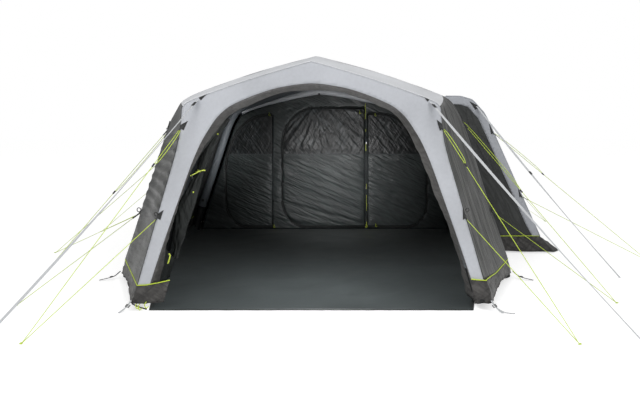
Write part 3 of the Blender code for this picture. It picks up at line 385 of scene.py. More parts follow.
def grid_faces(rows, columns, closed=False):
    faces = []
    for r in range(rows - 1):
        for c in range(columns if closed else columns - 1):
            d = (c + 1) % columns
            faces.append((r * columns + c, r * columns + d, (r + 1) * columns + d, (r + 1) * columns + c))
    return faces


def smooth_noise(point, seed):
    return noise.noise(Vector(point) + Vector((seed, seed * 1.7, -seed)))


def ridged(point, seed):
    """Creases: sharp ridges between smooth hollows, from 0 to 1."""
    return 1.0 - min(abs(smooth_noise(point, seed)) * 2.2, 1.0)


def poly(points, s):
    """A point on a half profile at index s, mirrored below 0."""
    side = -1.0 if s < 0 else 1.0
    s = min(abs(s), len(points) - 1 - 1e-6)
    k = int(s)
    (xa, za), (xb, zb) = points[k], points[k + 1]
    return side * lerp(xa, xb, s - k), lerp(za, zb, s - k)


def softened(points, s, fade):
    """A point on a half profile whose corners are rounded off."""
    x = z = 0.0
    for shift, weight in ((-0.42, 0.12), (-0.2, 0.22), (0.0, 0.32), (0.2, 0.22), (0.42, 0.12)):
        px, pz = poly(points, s + shift * fade)
        x += weight * px
        z += weight * pz
    return x, z


def section_point(depth, s):
    """The fly's profile at a depth, s from -8 (left foot) over 0 (ridge) to 8."""
    share = min(max(depth / CANOPY, 0.0), 1.0)
    fade = min(1.0, (FOOT - abs(s)) / 0.42, abs(abs(s) - PIPING) / 0.42, 0.12 + abs(s) / 0.5)
    (xa, za), (xb, zb) = softened(FRONT, s, fade), softened(MAIN, s, fade)
    return lerp(xa, xb, share), lerp(za, zb, share)


def section_normal(depth, s):
    a, b = section_point(depth, s - 0.05), section_point(depth, s + 0.05)
    dx, dz = b[0] - a[0], b[1] - a[1]
    size = math.hypot(dx, dz)
    return -dz / size, dx / size


def profile(depth, low, high, move=0.0, count=60):
    """Points of the fly's profile at a depth, moved outwards."""
    points = []
    for t in shares(count + 1):
        s = lerp(low, high, t)
        x, z = section_point(depth, s)
        nx, nz = section_normal(depth, s)
        points.append((x + nx * move, z + nz * move))
    return points


def shifted(line, move):
    """A line of (x, z) points moved to its right by move(z)."""
    out = []
    for k, (x, z) in enumerate(line):
        (xa, za), (xb, zb) = line[max(k - 1, 0)], line[min(k + 1, len(line) - 1)]
        size = math.hypot(xb - xa, zb - za)
        out.append((x + (zb - za) / size * move(z), z - (xb - xa) / size * move(z)))
    return out


def half_width(depth, height):
    """X of the fly's side at a height."""
    low, high = float(SHOULDER), FOOT
    for _ in range(24):
        middle = (low + high) / 2
        if section_point(depth, middle)[1] > height:
            low = middle
        else:
            high = middle
    return section_point(depth, low)[0]


def bay_share(depth):
    """Where a depth lies in its bay between two beams, from 0 to 1."""
    stops = [0.0, *BEAMS[1:4], LENGTH]
    for low, high in zip(stops, stops[1:]):
        if low <= depth <= high:
            return (depth - low) / (high - low)
    return 0.0


def depth_rows(start, end, step):
    return [lerp(start, end, t) for t in shares(max(2, round((end - start) / step) + 1))]


def ways(points):
    """The direction at each point of a line."""
    points = [Vector(p) for p in points]
    last = len(points) - 1
    return [points[min(k + 1, last)] - points[max(k - 1, 0)] for k in range(last + 1)]


def strip(name, centre, across, width, lift, material, **links):
    """A flat ribbon along a line, UV along its length; across gives its width direction at each point."""
    verts, uvs = [], []
    run = 0.0
    for index, (p, along, side) in enumerate(zip(centre, ways(centre), across)):
        if index:
            run += (Vector(p) - Vector(centre[index - 1])).length
        out = along.cross(Vector(side)).normalized() * lift
        for share in (-0.5, 0.0, 0.5):
            verts.append(Vector(p) + Vector(side).normalized() * (width * share) + out)
            uvs.append((run, share + 0.5))
    return mesh_object(name, verts, grid_faces(len(centre), 3), material, uvs, **links)


def tape(name, path, out, width, thickness, material, **links):
    """A ribbon that lies flat against out, one direction per point."""
    across = [along.cross(Vector(side)).normalized() for along, side in zip(ways(path), out)]
    return thicken(strip(name, path, across, width, 0.0, material, **links), thickness, 0.0)


def tube(name, path, radius, material, sides=8, ends=True, **links):
    """A round tube along a path; radius is a number or one per point."""
    path = [Vector(p) for p in path]
    verts, uvs = [], []
    normal = None
    run = 0.0
    for index, (p, way) in enumerate(zip(path, ways(path))):
        along = way.normalized()
        if normal is None:
            normal = along.orthogonal().normalized()
        normal = (normal - along * normal.dot(along)).normalized()
        other = along.cross(normal)
        if index:
            run += (p - path[index - 1]).length
        size = radius[index] if hasattr(radius, "__len__") else radius
        for k in range(sides):
            angle = 2 * math.pi * k / sides
            verts.append(p + normal * (math.cos(angle) * size) + other * (math.sin(angle) * size))
            uvs.append((run, k / sides))
    faces = grid_faces(len(path), sides, True)
    if ends:
        faces.append(tuple(reversed(range(sides))))
        faces.append(tuple((len(path) - 1) * sides + k for k in range(sides)))
    return mesh_object(name, verts, faces, material, uvs, **links)


def spline(points, steps=8):
    """A smooth line through points."""
    pts = [Vector(p) for p in points]
    pts = [2 * pts[0] - pts[1]] + pts + [2 * pts[-1] - pts[-2]]
    fine = []
    for a, b, c, d in zip(pts, pts[1:], pts[2:], pts[3:]):
        for k in range(steps):
            t = k / steps
            fine.append(0.5 * (2 * b + (c - a) * t + (2 * a - 5 * b + 4 * c - d) * t * t
                               + (3 * b - a - 3 * c + d) * t ** 3))
    fine.append(pts[-2])
    return fine


def box_piece(name, centre, size, material, turn=None, bevel=0.15, **links):
    """A small bevelled block, for buckles and sliders."""
    shape = bmesh.new()
    bmesh.ops.create_cube(shape, size=1.0)
    for v in shape.verts:
        v.co = [c * s for c, s in zip(v.co, size)]
    bmesh.ops.bevel(shape, geom=shape.edges, offset=min(size) * bevel, segments=2, affect="EDGES")
    shape.transform(Matrix.Translation(centre) @ (turn.to_4x4() if turn is not None else Matrix.Identity(4)))
    mesh = bpy.data.meshes.new(name)
    shape.to_mesh(mesh)
    shape.free()
    mesh.shade_smooth()
    return link(bpy.data.objects.new(name, mesh), material, **links)


def ring(name, centre, axis, radius, wire, material, **links):
    axis = Vector(axis).normalized()
    u = axis.orthogonal().normalized()
    v = axis.cross(u)
    path = [Vector(centre) + (u * math.cos(a) + v * math.sin(a)) * radius
            for a in (2 * math.pi * k / 20 for k in range(21))]
    return tube(name, path, wire, material, 8, ends=False, **links)


# Guy lines as (node, upper tab, lower tab, peg, share of the line with a second strand), and storm straps

GUYS = (
    ("guy_front_left", (-1.1172, -3.1, 1.53), (-1.3168, -3.1, 0.77), (-2.04, -3.9), 0.19),
    ("guy_front_right", (1.1172, -3.1, 1.53), (1.3168, -3.1, 0.77), (1.96, -3.91), 0.19),
    ("guy_canopy_left", (-1.5261, -1.9587, 1.53), (-1.8015, -1.9587, 0.68), (-2.57, -2.95), 0.4),
    ("guy_canopy_right", (1.5029, -1.9587, 1.6), (1.8015, -1.9587, 0.68), (2.68, -2.88), 0.42),
    ("guy_middle_left", (-1.5261, -0.6387, 1.53), (-1.8015, -0.6387, 0.68), (-3.26, -0.72), None),
    ("guy_bedroom_left", (-1.5261, 0.9617, 1.53), (-1.8015, 0.9617, 0.68), (-3.28, 0.79), None),
    ("guy_wing_front", (2.1401, -0.7, 1.46), (2.4885, -0.7, 0.68), (3.79, -1.19), 0.33),
    ("guy_wing_rear", (2.1401, 0.98, 1.46), (2.4885, 0.98, 0.68), (3.57, 1.75), None),
)
SHOWN_RADIUS = 0.0029
GROUND = 0.0026
PEG_LOOP = 0.014
STRAP_WIDTH = 0.03
STRAP_SAG = 0.03
STRAP_STEPS = 32
STRAPS = {
    "storm_strap_left": (Vector((-0.96, -3.1, 1.78259)), Vector((-2.22, behind(-1.23), 0.015))),
    "storm_strap_right": (Vector((1.01, -3.1, 1.764843)), Vector((2.35, behind(-1.25), 0.015))),
    "storm_strap_wing": (Vector((1.92, WING_FRONT_Y, 1.8)), Vector((3.09, behind(1.06), 0.015))),
}


def guy_route(upper, peg, lower):
    """Down to the peg, round it, and back up, as the CAD line runs."""
    pull = (upper + lower) / 2 - peg
    pull.z = 0.0
    pull.normalize()
    side = Vector((-pull.y, pull.x, 0.0)) * PEG_LOOP
    back = pull * PEG_LOOP
    half = math.sqrt(0.5)
    return [upper, upper.lerp(peg, 0.6), upper.lerp(peg, 0.97), peg + side, peg + (side - back) * half,
            peg - back, peg - (side + back) * half, peg - side, peg.lerp(lower, 0.03), peg.lerp(lower, 0.5),
            lower]


def strap_spot(start, end, t):
    """A point on a storm strap, which sags a little."""
    return start.lerp(end, t) - Vector((0, 0, 4 * STRAP_SAG * t * (1 - t)))


for name, upper, lower, peg, share in GUYS:
    upper, lower = Vector(upper), Vector(lower)
    foot = Vector((*peg, GROUND))
    route = spline(guy_route(upper, foot, lower), 6)
    for point in route:
        point.z = max(point.z, GROUND)
    shown = [Vector((p.x, p.y, max(p.z, 0.0032))) for p in route]
    line = tube(name + "_line", shown, SHOWN_RADIUS, guy_cord, nodes=(name,))
    if share is not None:
        along = (foot - upper).normalized()
        middle = upper + (foot - upper) * share
        aside = along.cross(Vector((0, 1, 0))).normalized()
        double = [middle - along * 0.012 + aside * 0.006]
        for t in shares(9)[1:]:
            double.append(middle.lerp(upper, t) + aside * (0.008 + 0.014 * math.sin(math.pi * t) ** 0.5))
        double = spline(double, 2)
        tube(name + "_double", double, SHOWN_RADIUS, guy_cord)

for name, (start, end) in STRAPS.items():
    along = (end - start).normalized()
    across = along.cross(Vector((0, 0, 1))).normalized()
    normal = along.cross(across).normalized() * 0.001
    start = start.copy()
    start.y -= 0.0003 + abs(across.y) * STRAP_WIDTH / 2 + abs(normal.y)
    path = [strap_spot(start, end, t) for t in shares(STRAP_STEPS + 1)]
    verts, uvs = [], []
    run = 0.0
    for k, p in enumerate(path):
        if k:
            run += (p - path[k - 1]).length
        turn = Matrix.Rotation(math.radians(14) * math.sin(k / STRAP_STEPS * math.pi * 2.0), 3, along)
        for u, v in ((-0.5, 1), (-0.25, 1.3), (0.25, 1.3), (0.5, 1), (0.5, -1), (-0.5, -1)):
            verts.append(p + turn @ across * (u * STRAP_WIDTH) + turn @ normal * v)
            uvs.append((run, u + 0.5))
    faces = grid_faces(len(path), 6, True)
    faces += [(5, 4, 3, 2, 1, 0), tuple(STRAP_STEPS * 6 + k for k in range(6))]
    strap = mesh_object(name + "_belt", verts, faces, grey_webbing, uvs, smooth=False, nodes=(name,))


# The fly: one smooth skin per sewn panel, sagging a little between the beams

def fly_skin(node, s_low, s_high, start, end, sag, material, crease, seed, columns, step, grain, ripple=0.0,
             lining=None, wrap=False):
    """The range of s may change with the depth; a ripple adds satin bands, a wrap turns down at the front."""
    rows = depth_rows(start, end, step)
    verts = []
    lines = [(depth, None) for depth in rows]
    if wrap:
        turns = [(WRAP * (1 - math.sin(a)), WRAP * (1 - math.cos(a))) for a in
                 (math.pi / 2, math.pi * 0.375, math.pi * 0.25, math.pi * 0.125)]
        lines = turns + [(depth, None) for depth in rows if depth >= WRAP]
    for depth, drop in lines:
        low, high = (limit(depth) if callable(limit) else limit for limit in (s_low, s_high))
        bay = bay_share(depth)
        for t in shares(columns):
            s = lerp(low, high, t)
            x, z = section_point(depth, s)
            nx, nz = section_normal(depth, s)
            hold = soft_step(0.0, 0.12, min(t, 1 - t))
            fade = hold * soft_step(0.0, 0.1, min(bay, 1 - bay))
            where = (x * grain[0], depth * grain[1], z * grain[2])
            folds = (ridged([v * 2.1 for v in where], seed) - 0.5) * crease
            folds += smooth_noise([v * 5.0 for v in where], seed + 9) * crease * 0.5
            move = folds * fade - sag * math.sin(math.pi * bay) * hold
            if ripple:
                band = soft_step(0.55, 0.95, z) * soft_step(1.66, 1.35, z)
                swing = z * 10.6 + 0.3 * smooth_noise((depth * 0.8, 0.0, z * 2.0), seed)
                share = 0.7 + 0.6 * smooth_noise((depth * 0.8, 0.0, z * 5.0), seed + 4)
                move += ripple * band * share * fade * (0.5 + 0.5 * math.sin(2 * math.pi * swing)) ** 1.6
            if drop is not None:
                move = -drop
            verts.append((x + nx * move, behind(max(depth, 0.0)), z + nz * move))
    thing = mesh_object(node + "_skin", verts, grid_faces(len(lines), columns), material, nodes=(node,))
    return sewn(thing,
                lining=lining)


def right_seam(depth):
    """Where the light roof ends on the right: the dark side rises over the shoulder in front of the wing."""
    if depth < CANOPY:
        return lerp(3.0, 2.25, depth / CANOPY)
    return lerp(2.25, 3.0, soft_step(WING_START - 0.06, WING_START, depth))


# The roof takes the cloth painted lighter for the light on its top.
roof = fly_skin("roof", -3.0, right_seam, 0.0, LENGTH, 0.028, lit_roof_cloth, 0.012, 3.1, 73, 0.06,
                (1.0, 0.5, 1.0), lining=lining_cloth, wrap=True)
CANOPY_GRID = (5.2, 110, 0.024)
SIDE = (0.035, dark, 0.02)
SIDE_GRID = (40, 0.06, (1.0, 0.6, 1.5))
covers = {panel_row[0]: fly_skin(*panel_row) for panel_row in (
    ("canopy_side_left", -7.0, -3.0, 0.0, CANOPY, 0.02, canopy_cloth, 0.005, *CANOPY_GRID, (1.0, 0.7, 2.6),
     0.022),
    ("canopy_side_right", right_seam, 7.0, 0.0, CANOPY, 0.02, right_cloth, 0.015, *CANOPY_GRID,
     (0.5, 3.4, 0.5)),
    ("side_left", -7.0, -3.0, CANOPY, LENGTH, *SIDE, 7.7, *SIDE_GRID),
    ("side_right_front", right_seam, 7.0, CANOPY, WING_START, *SIDE, 2.4, *SIDE_GRID),
    ("side_right_rear", 3.0, 7.0, WING_END, LENGTH, *SIDE, 4.4, *SIDE_GRID))}


# Flat panels are cut from a fine grid, so that their folds can be modelled

def inside(outline, x, z):
    hit = False
    for (x1, z1), (x2, z2) in zip(outline, outline[1:] + outline[:1]):
        if (z1 > z) != (z2 > z) and x < (x2 - x1) * (z - z1) / (z2 - z1) + x1:
            hit = not hit
    return hit


def nearest_on(outline, x, z):
    best = None
    for (x1, z1), (x2, z2) in zip(outline, outline[1:] + outline[:1]):
        dx, dz = x2 - x1, z2 - z1
        size = dx * dx + dz * dz
        t = 0.0 if size == 0 else min(max(((x - x1) * dx + (z - z1) * dz) / size, 0.0), 1.0)
        px, pz = x1 + dx * t, z1 + dz * t
        gap = (px - x) ** 2 + (pz - z) ** 2
        if best is None or gap < best[0]:
            best = (gap, px, pz)
    return best[1], best[2], math.sqrt(best[0])


def size_of(outline):
    xs, zs = zip(*outline)
    return max(xs) - min(xs), max(zs) - min(zs)


def cut_panel(outline, holes=(), cell=0.025):
    """Grid vertices and faces inside an outline and outside its holes, with the rim snapped to them."""
    low_x, low_z = (min(values) for values in zip(*outline))
    across, up = (math.ceil(size / cell) for size in size_of(outline))
    faces = []
    for j in range(up):
        for i in range(across):
            x, z = low_x + (i + 0.5) * cell, low_z + (j + 0.5) * cell
            if inside(outline, x, z) and not any(inside(hole, x, z) for hole in holes):
                faces.append(((i, j), (i + 1, j), (i + 1, j + 1), (i, j + 1)))
    uses = {}
    for face in faces:
        for a, b in zip(face, face[1:] + face[:1]):
            key = (a, b) if a < b else (b, a)
            uses[key] = uses.get(key, 0) + 1
    rim = {corner for edge, used in uses.items() if used == 1 for corner in edge}
    index, verts = {}, []
    for i, j in (corner for face in faces for corner in face):
        if (i, j) in index:
            continue
        x, z = low_x + i * cell, low_z + j * cell
        if (i, j) in rim:
            spots = [nearest_on(loop, x, z) for loop in (outline, *holes)]
            x, z, _ = min(spots, key=lambda spot: spot[2])
        index[(i, j)] = len(verts)
        verts.append([x, z])
    ends = [index[corner] for corner in rim]
    for loop in (outline, *holes):
        for before, (cx, cz), after in zip(loop[-1:] + loop, loop, loop[1:] + loop[:1]):
            a, b = (Vector(beside) - Vector((cx, cz)) for beside in (before, after))
            if a.length > 1e-6 and b.length > 1e-6 and a.angle(b) < math.radians(150):
                near = min(ends, key=lambda v: (verts[v][0] - cx) ** 2 + (verts[v][1] - cz) ** 2)
                if math.dist(verts[near], (cx, cz)) < cell * 1.5:
                    verts[near] = [cx, cz]
    return verts, [tuple(index[corner] for corner in face) for face in faces]


def panel(name, outline, where, material, nodes=(), holes=(), body="tent", cell=0.025,
          thickness=CLOTH, offset=1.0, flip=False):
    """A cut panel whose points are placed in space by where(x, z, gap), gap being the way to its rim."""
    spots, quads = cut_panel(outline, holes, cell)
    verts = [where(x, z, min(nearest_on(loop, x, z)[2] for loop in (outline, *holes))) for x, z in spots]
    if flip:
        quads = [tuple(reversed(q)) for q in quads]
    thing = mesh_object(name, verts, quads, material, nodes=nodes, body=body)
    return sewn(thing, thickness, offset)


def arch_line(taper, count=61):
    """The front opening's edge, from the left foot to the right, drawn inwards by a share of the taper."""
    last = len(ARCH) - 1
    half = [softened(ARCH, last * t, min(1.0, (last - last * t) / 0.5)) for t in shares(count)]
    line = [(-x, z) for x, z in reversed(half)] + half[1:]
    return shifted(line, lambda z: lerp(0.03, 0.12, min(max(1.0 - z / 0.75, 0.0), 1.0)) * taper)


PIPING_Z = section_point(0.0, PIPING)[1]
MAIN_PIPING_Z = section_point(CANOPY, PIPING)[1]


def clipped(line, height, right=None):
    """An open line with its ends cut at a height, or at two."""
    right = height if right is None else right
    kept = [p for p in line if p[1] > (height if p[0] < 0 else right) + 0.004]

    def foot(a, b, level):
        return lerp(a[0], b[0], (level - a[1]) / (b[1] - a[1])), level

    first, last = line.index(kept[0]), line.index(kept[-1])
    return [foot(line[first - 1], kept[0], height)] + kept + [foot(line[last + 1], kept[-1], right)]


outer_line = profile(0.0, -PIPING, PIPING, 0.0, 120)
for k, (x, z) in enumerate(outer_line):
    s = lerp(-PIPING, PIPING, k / 120)
    if abs(s) <= SHOULDER + 0.25:
        nx, nz = section_normal(0.0, s)
        drop = WRAP * soft_step(SHOULDER + 0.25, SHOULDER - 0.2, abs(s))
        outer_line[k] = (x - nx * drop, z - nz * drop)
for end in (0, -1):
    outer_line[end] = (outer_line[end][0], PIPING_Z)
arch_edge = clipped(arch_line(0.0), PIPING_Z)


def fascia_spot(x, z, gap):
    wave = math.sin(min(gap / 0.09, 1.0) * math.pi / 2)
    folds = smooth_noise((x * 2.2, 0.0, z * 1.1), 4.0) * 0.010
    folds += (ridged((x * 5, 0.0, z * 1.6), 8.0) - 0.5) * 0.006
    back = 0.002 - 0.004 * wave + folds * wave * soft_step(0, 0.06, gap)
    return x, FRONT_Y + min(back, 0.002 - 0.002 * soft_step(0.0, 0.03, gap)), z


covers["fascia"] = panel("fascia_skin", outer_line + list(reversed(arch_edge)), fascia_spot, light,
                         ("fascia",), cell=0.02, offset=-1.0)

# The strip that turns inwards from the arch; on the left its inner part is the door curtain's cloth

RETURN_START = 0.002
RETURN_DEPTH = 0.298
rows, columns = 26, 150
verts = []
for t in shares(rows):
    edge = clipped(arch_line(t ** 0.5, 70), PIPING_Z, 0.062)
    marks = [0.0]
    for a, b in zip(edge, edge[1:]):
        marks.append(marks[-1] + math.dist(a, b))
    k = 0
    for along in shares(columns):
        want = marks[-1] * along
        while k < len(marks) - 2 and marks[k + 1] < want:
            k += 1
        f = (want - marks[k]) / (marks[k + 1] - marks[k])
        (xa, za), (xb, zb) = edge[k], edge[k + 1]
        x, z = lerp(xa, xb, f), lerp(za, zb, f)
        size = math.hypot(xb - xa, zb - za)
        pleat = (ridged((along * 34, t * 1.2, 0.0), 6.0) - 0.55) * 0.011
        pleat += smooth_noise((along * 15, t * 2.0, 0.0), 2.0) * 0.008
        pleat *= soft_step(0.0, 0.35, t)
        if x > 0:
            pleat -= soft_step(1.0, 0.25, z) * 0.062 * t ** 0.5
        else:
            pleat -= soft_step(0.36, 0.5, z) * soft_step(1.5, 1.04, z) * (0.01 * t ** 0.5 + 0.13 * t * t)
        y = behind(RETURN_START + RETURN_DEPTH * t)
        verts.append((x + (zb - za) / size * pleat, y, z - (xb - xa) / size * pleat))
return_skin = mesh_object("arch_return_skin", verts, grid_faces(rows, columns), valance,
                          nodes=("arch_return",))
return_skin.data.materials.append(curtain_cloth)
for face in return_skin.data.polygons:
    inwards = (face.center.y - behind(RETURN_START)) / RETURN_DEPTH
    face.material_index = int(face.center.x < -0.6 and inwards > max((face.center.z - 1.16) / 0.5, 0.3))
sewn(return_skin, offset=0.0)


# Air beams: sleeves with their bladders, and dark boots at the feet

SLEEVE_RADIUS = 0.0575
BLADDER_RADIUS = 0.0535
BOOT_RADIUS = 0.0592
BOOT_TOP = 0.44
for number, depth in enumerate(BEAMS, start=1):
    base = 0.0 if depth < CANOPY else depth
    low = 0.062 if number == 1 else 0.0015 if depth > BEDROOM else 0.0045
    curve = profile(base, -FOOT, FOOT, -BEAM_INSET, 130)
    centre = [(x, behind(depth), z) for x, z in curve if z > low + 0.008]
    feet = []
    for a, b in ((centre[0], centre[1]), (centre[-1], centre[-2])):
        t = (low - a[2]) / (b[2] - a[2])
        feet.append(tuple(lerp(p, q, t) for p, q in zip(a, b)))
    centre = [feet[0], *centre, feet[1]]
    radii = [SLEEVE_RADIUS * (1 + 0.012 * smooth_noise((k * 0.21, number, 0), 3.0))
             for k in range(len(centre))]
    tube("beam_%d_sleeve" % number, centre, radii, sleeve_cloth, 20, nodes=("beam_sleeve_%d" % number,))
    tube("beam_%d_bladder" % number, centre[1:-1], BLADDER_RADIUS, film, 16,
         nodes=("beam_bladder_%d" % number,))
    for side, part in (("left", centre[:40]), ("right", centre[-40:])):
        low_part = [p for p in part if p[2] < BOOT_TOP]
        tube("beam_%d_boot_%s" % (number, side), low_part, BOOT_RADIUS, boot_cloth, 20)

# A strip of sleeve cloth, painted lighter for the light on it, hangs below the fourth beam, in front of the
# inner tent, and rounds off its ridge

LOW_EDGE = ((-1.24, 1.725), (-1.106, 1.79), (-0.836, 1.87), (-0.401, 1.975), (-0.085, 2.03), (0.155, 2.003),
            (0.38, 1.967), (0.575, 1.92), (0.68, 1.902), (0.84, 1.868), (1.02, 1.8))
RIDGE_Z = 2.28
ROOF_SLOPE = 0.2645
rows, columns = 9, 90
verts = []
for t in shares(rows):
    for share in shares(columns):
        x = lerp(LOW_EDGE[0][0], LOW_EDGE[-1][0], share)
        k = max(k for k in range(len(LOW_EDGE) - 1) if LOW_EDGE[k][0] <= x)
        (xa, za), (xb, zb) = LOW_EDGE[k], LOW_EDGE[k + 1]
        low = lerp(za, zb, (x - xa) / (xb - xa))
        high = RIDGE_Z - ROOF_SLOPE * abs(x) - BEAM_INSET - BEAM_RADIUS
        fold = smooth_noise((x * 9.0, 0.0, 0.0), 4.0) * 0.012 * t
        y = behind(BEAMS[3]) + fold - 0.012 * math.sin(math.pi * t)
        verts.append((x, y, lerp(max(high, low + 0.01), low, t)))
edge_strip = mesh_object("beam_4_edge", verts, grid_faces(rows, columns), lit_strip_cloth)
sewn(edge_strip, thickness=0.0012, offset=0.0)


# Skirts below the piping, with their hem and a lime piping along the top

def skirt_piece(node, top, bottom, seed, material=skirt_cloth):
    fine_top, fine_bottom = [], []
    for a, b, c, d in zip(top, top[1:], bottom, bottom[1:]):
        count = max(1, round(math.dist(a, b) / 0.03))
        for k in range(count):
            fine_top.append(Vector(a).lerp(Vector(b), k / count))
            fine_bottom.append(Vector(c).lerp(Vector(d), k / count))
    top, bottom = fine_top + [Vector(top[-1])], fine_bottom + [Vector(bottom[-1])]
    rows = 9
    verts = []
    for t in shares(rows):
        for a, b, way in zip(top, bottom, ways(top)):
            p = a.lerp(b, t)
            out = way.cross(a - b).normalized()
            sharp = 0.02 if abs(p.y - FRONT_Y) < 0.03 else 0.009
            ripple = smooth_noise((p.x * 4.5, p.y * 4.5, t * 0.8), seed) * 0.018
            ripple += (ridged((p.x * 9 + t * 2.0, p.y * 9, t * 1.5), seed + 3) - 0.6) * sharp
            p += out * ripple * soft_step(0.0, 0.5, t)
            p.z += smooth_noise((p.x * 2.5, p.y * 2.5, 1.0), seed + 5) * 0.010 * t
            verts.append(p)
    thing = mesh_object(node + "_skin", verts, grid_faces(rows, len(top)), material, nodes=(node,))
    sewn(thing, thickness=0.0016, offset=0.0)
    hem = [v + Vector((0, 0, 0.004)) for v in verts[-len(top):]]
    tube(node + "_hem", hem, 0.0032, material, 6)
    piping = [p + Vector((0, 0, 0.002 + 0.0015 * smooth_noise(p * 6.0, 2.0))) for p in top]
    tube(node + "_piping", piping, 0.0042, lime_piping)


def skirt_lines(side, start, end):
    top, bottom = [], []
    for depth in depth_rows(start, end, 0.05):
        tx, tz = section_point(depth, PIPING)
        fx, _ = section_point(depth, FOOT)
        lift = 0.05 * max(0.0, 1 - abs(depth / CANOPY * 2 - 1)) if depth < CANOPY else 0.0
        low = lerp(0.06, 0.012, soft_step(CANOPY - 0.05, CANOPY + 0.25, depth)) + lift
        top.append((side * tx, behind(depth), tz))
        bottom.append((side * lerp(tx, fx, (tz - low) / tz), behind(depth), low))
    return top, bottom


top, bottom = skirt_lines(-1, 0.0, LENGTH)
base = top[0][2]
top = [(-1.2, -3.1005, base + 0.044), (-1.3, -3.1005, base + 0.02), (-1.4, -3.1005, base + 0.003)] + top
bottom = [(-1.25, FRONT_Y, 0.07), (-1.34, FRONT_Y, 0.064), (-1.44, FRONT_Y, 0.06)] + bottom
skirt_piece("skirt_left", top, bottom, 2.0)
top, bottom = skirt_lines(1, 0.0, WING_START - 0.002)
raised = []
for x, y, z in top:
    lift = soft_step(0.55, 0.0, y - FRONT_Y)
    raised.append((x + 0.003 * lift, y - 0.009 * lift, z + 0.044 * lift))
top = [(1.352, -3.11, base + 0.056), (1.4, -3.11, base + 0.05)] + raised
bottom = [(1.385, FRONT_Y, 0.05), (1.44, FRONT_Y, 0.055)] + bottom
skirt_piece("skirt_right", top, bottom, 4.0)
top, bottom = skirt_lines(1, WING_END + 0.002, LENGTH + 0.002)
for line in (top, bottom):
    last_x, _, last_z = line[-1]
    line += [(x, behind(LENGTH) + 0.003, last_z) for x in (1.9, 1.0, 0.0, -1.0, -last_x)]
skirt_piece("skirt_rear", top, bottom, 8.0)

# Mud flaps turn inwards under the side walls

FLAP_EDGE = 1.9975
for side, name, start, end in ((-1, "mud_flap_left", CANOPY + 0.1, LENGTH - 0.01),
                               (1, "mud_flap_right", CANOPY + 0.1, WING_START),
                               (1, "mud_flap_right_rear", WING_END, LENGTH - 0.01)):
    rows = depth_rows(start, end, 0.1)
    flap = [(side * FLAP_EDGE, behind(d)) for d in rows]
    flap += [(side * (1.79 + 0.012 * math.sin(d * 9.0)), behind(d)) for d in reversed(rows)]
    panel(name, flap, lambda x, y, gap: (x, y, 0.0012 + 0.013 * soft_step(1.965, FLAP_EDGE, abs(x))),
          skirt_cloth, cell=0.03, thickness=0.0008)


# Rear wall, groundsheet, inner tent

def wall_folds(x, z, seed, depth):
    value = (ridged((x * 2.8, 0.0, z * 1.8), seed) - 0.5) * depth
    return value + smooth_noise((x * 4, 0.0, z * 4), seed + 1) * depth * 0.5


def rear_spot(x, z, gap):
    return x, behind(LENGTH) + 0.0025 + wall_folds(x, z, 5.0, 0.014) * soft_step(0, 0.15, gap), z


panel("rear_wall_skin", profile(LENGTH, -PIPING, PIPING, -0.001, 90), rear_spot, dark, ("rear_wall",),
      cell=0.05, flip=True)

SHEET_LINE = [(-1.375, -3.1), (1.375, -3.1), (1.43, -2.87), (1.6, -2.85), (1.95, -2.02), (1.95, -0.64),
              (2.71, -0.64), (2.71, 0.92), (1.95, 0.92), (1.95, 1.0195), (-1.95, 1.0195), (-1.95, -2.02),
              (-1.6, -2.85), (-1.43, -2.87)]


def ground_spot(x, y, gap):
    lift = max(0.0, smooth_noise((x * 1.4, y * 1.4, 0.0), 6.0)) * 0.006
    lift += max(0.0, ridged((x * 1.1, y * 1.7, 0.0), 3.0) - 0.72) * 0.016
    if y > 1.0:
        lift = 0.0
    tub = 0.085 * soft_step(0.02, 0.0, gap) * soft_step(-2.86, -2.8, y) * soft_step(1.01, 0.99, y)
    return x, y, 0.0022 + lift * soft_step(0.0, 0.2, gap) + tub


panel("groundsheet_skin", SHEET_LINE, ground_spot, sheet_cloth, ("groundsheet",), cell=0.05,
      thickness=0.0016)
hem = [(lerp(-1.372, 1.372, k / 90), -3.102 + 0.003 * smooth_noise((k * 0.31, 0.0, 0.0), 2.0),
        0.0052 + 0.002 * smooth_noise((k * 0.4, 1.0, 0.0), 5.0)) for k in range(91)]
tube("sheet_hem", hem, 0.0045, zip_tape, 6, slot="groundsheet_cloth")

room = [p for p in profile(BEDROOM, -FOOT, FOOT, -0.145, 120) if p[1] > 0.01]
room = [(room[0][0], 0.003)] + room + [(room[-1][0], 0.003)]

# Each door's hinge and far x, its top, and the widths and heights of its upper and lower rounded corner
DOORS = {
    "left": (-0.79, -1.49, 1.72, (0.6, 0.85), (0.34, 0.4)),
    "middle": (0.6, -0.64, 1.83, (0.5, 0.55), (0.36, 0.42)),
    "right": (0.65, 1.54, 1.74, (0.72, 0.95), (0.3, 0.36)),
}
DOOR_SILL = 0.035


def door_outline(hinge, far, top, corner, foot, grow=0.0, inset=0.0):
    side = 1.0 if far > hinge else -1.0
    width, low, high = abs(far - hinge) + grow, DOOR_SILL - grow, top + grow
    points = [(hinge + side * inset, high), (hinge + side * inset, low)]
    for (across, rise), cz, turn in ((foot, low + foot[1] + grow, -90), (corner, high - corner[1] - grow, 0)):
        cx = width - across - grow
        for t in shares(15):
            a = math.radians(turn + 90 * t)
            out = cx + (across + grow) * math.cos(a)
            points.append((hinge + side * out, cz + (rise + grow) * math.sin(a)))
    return points


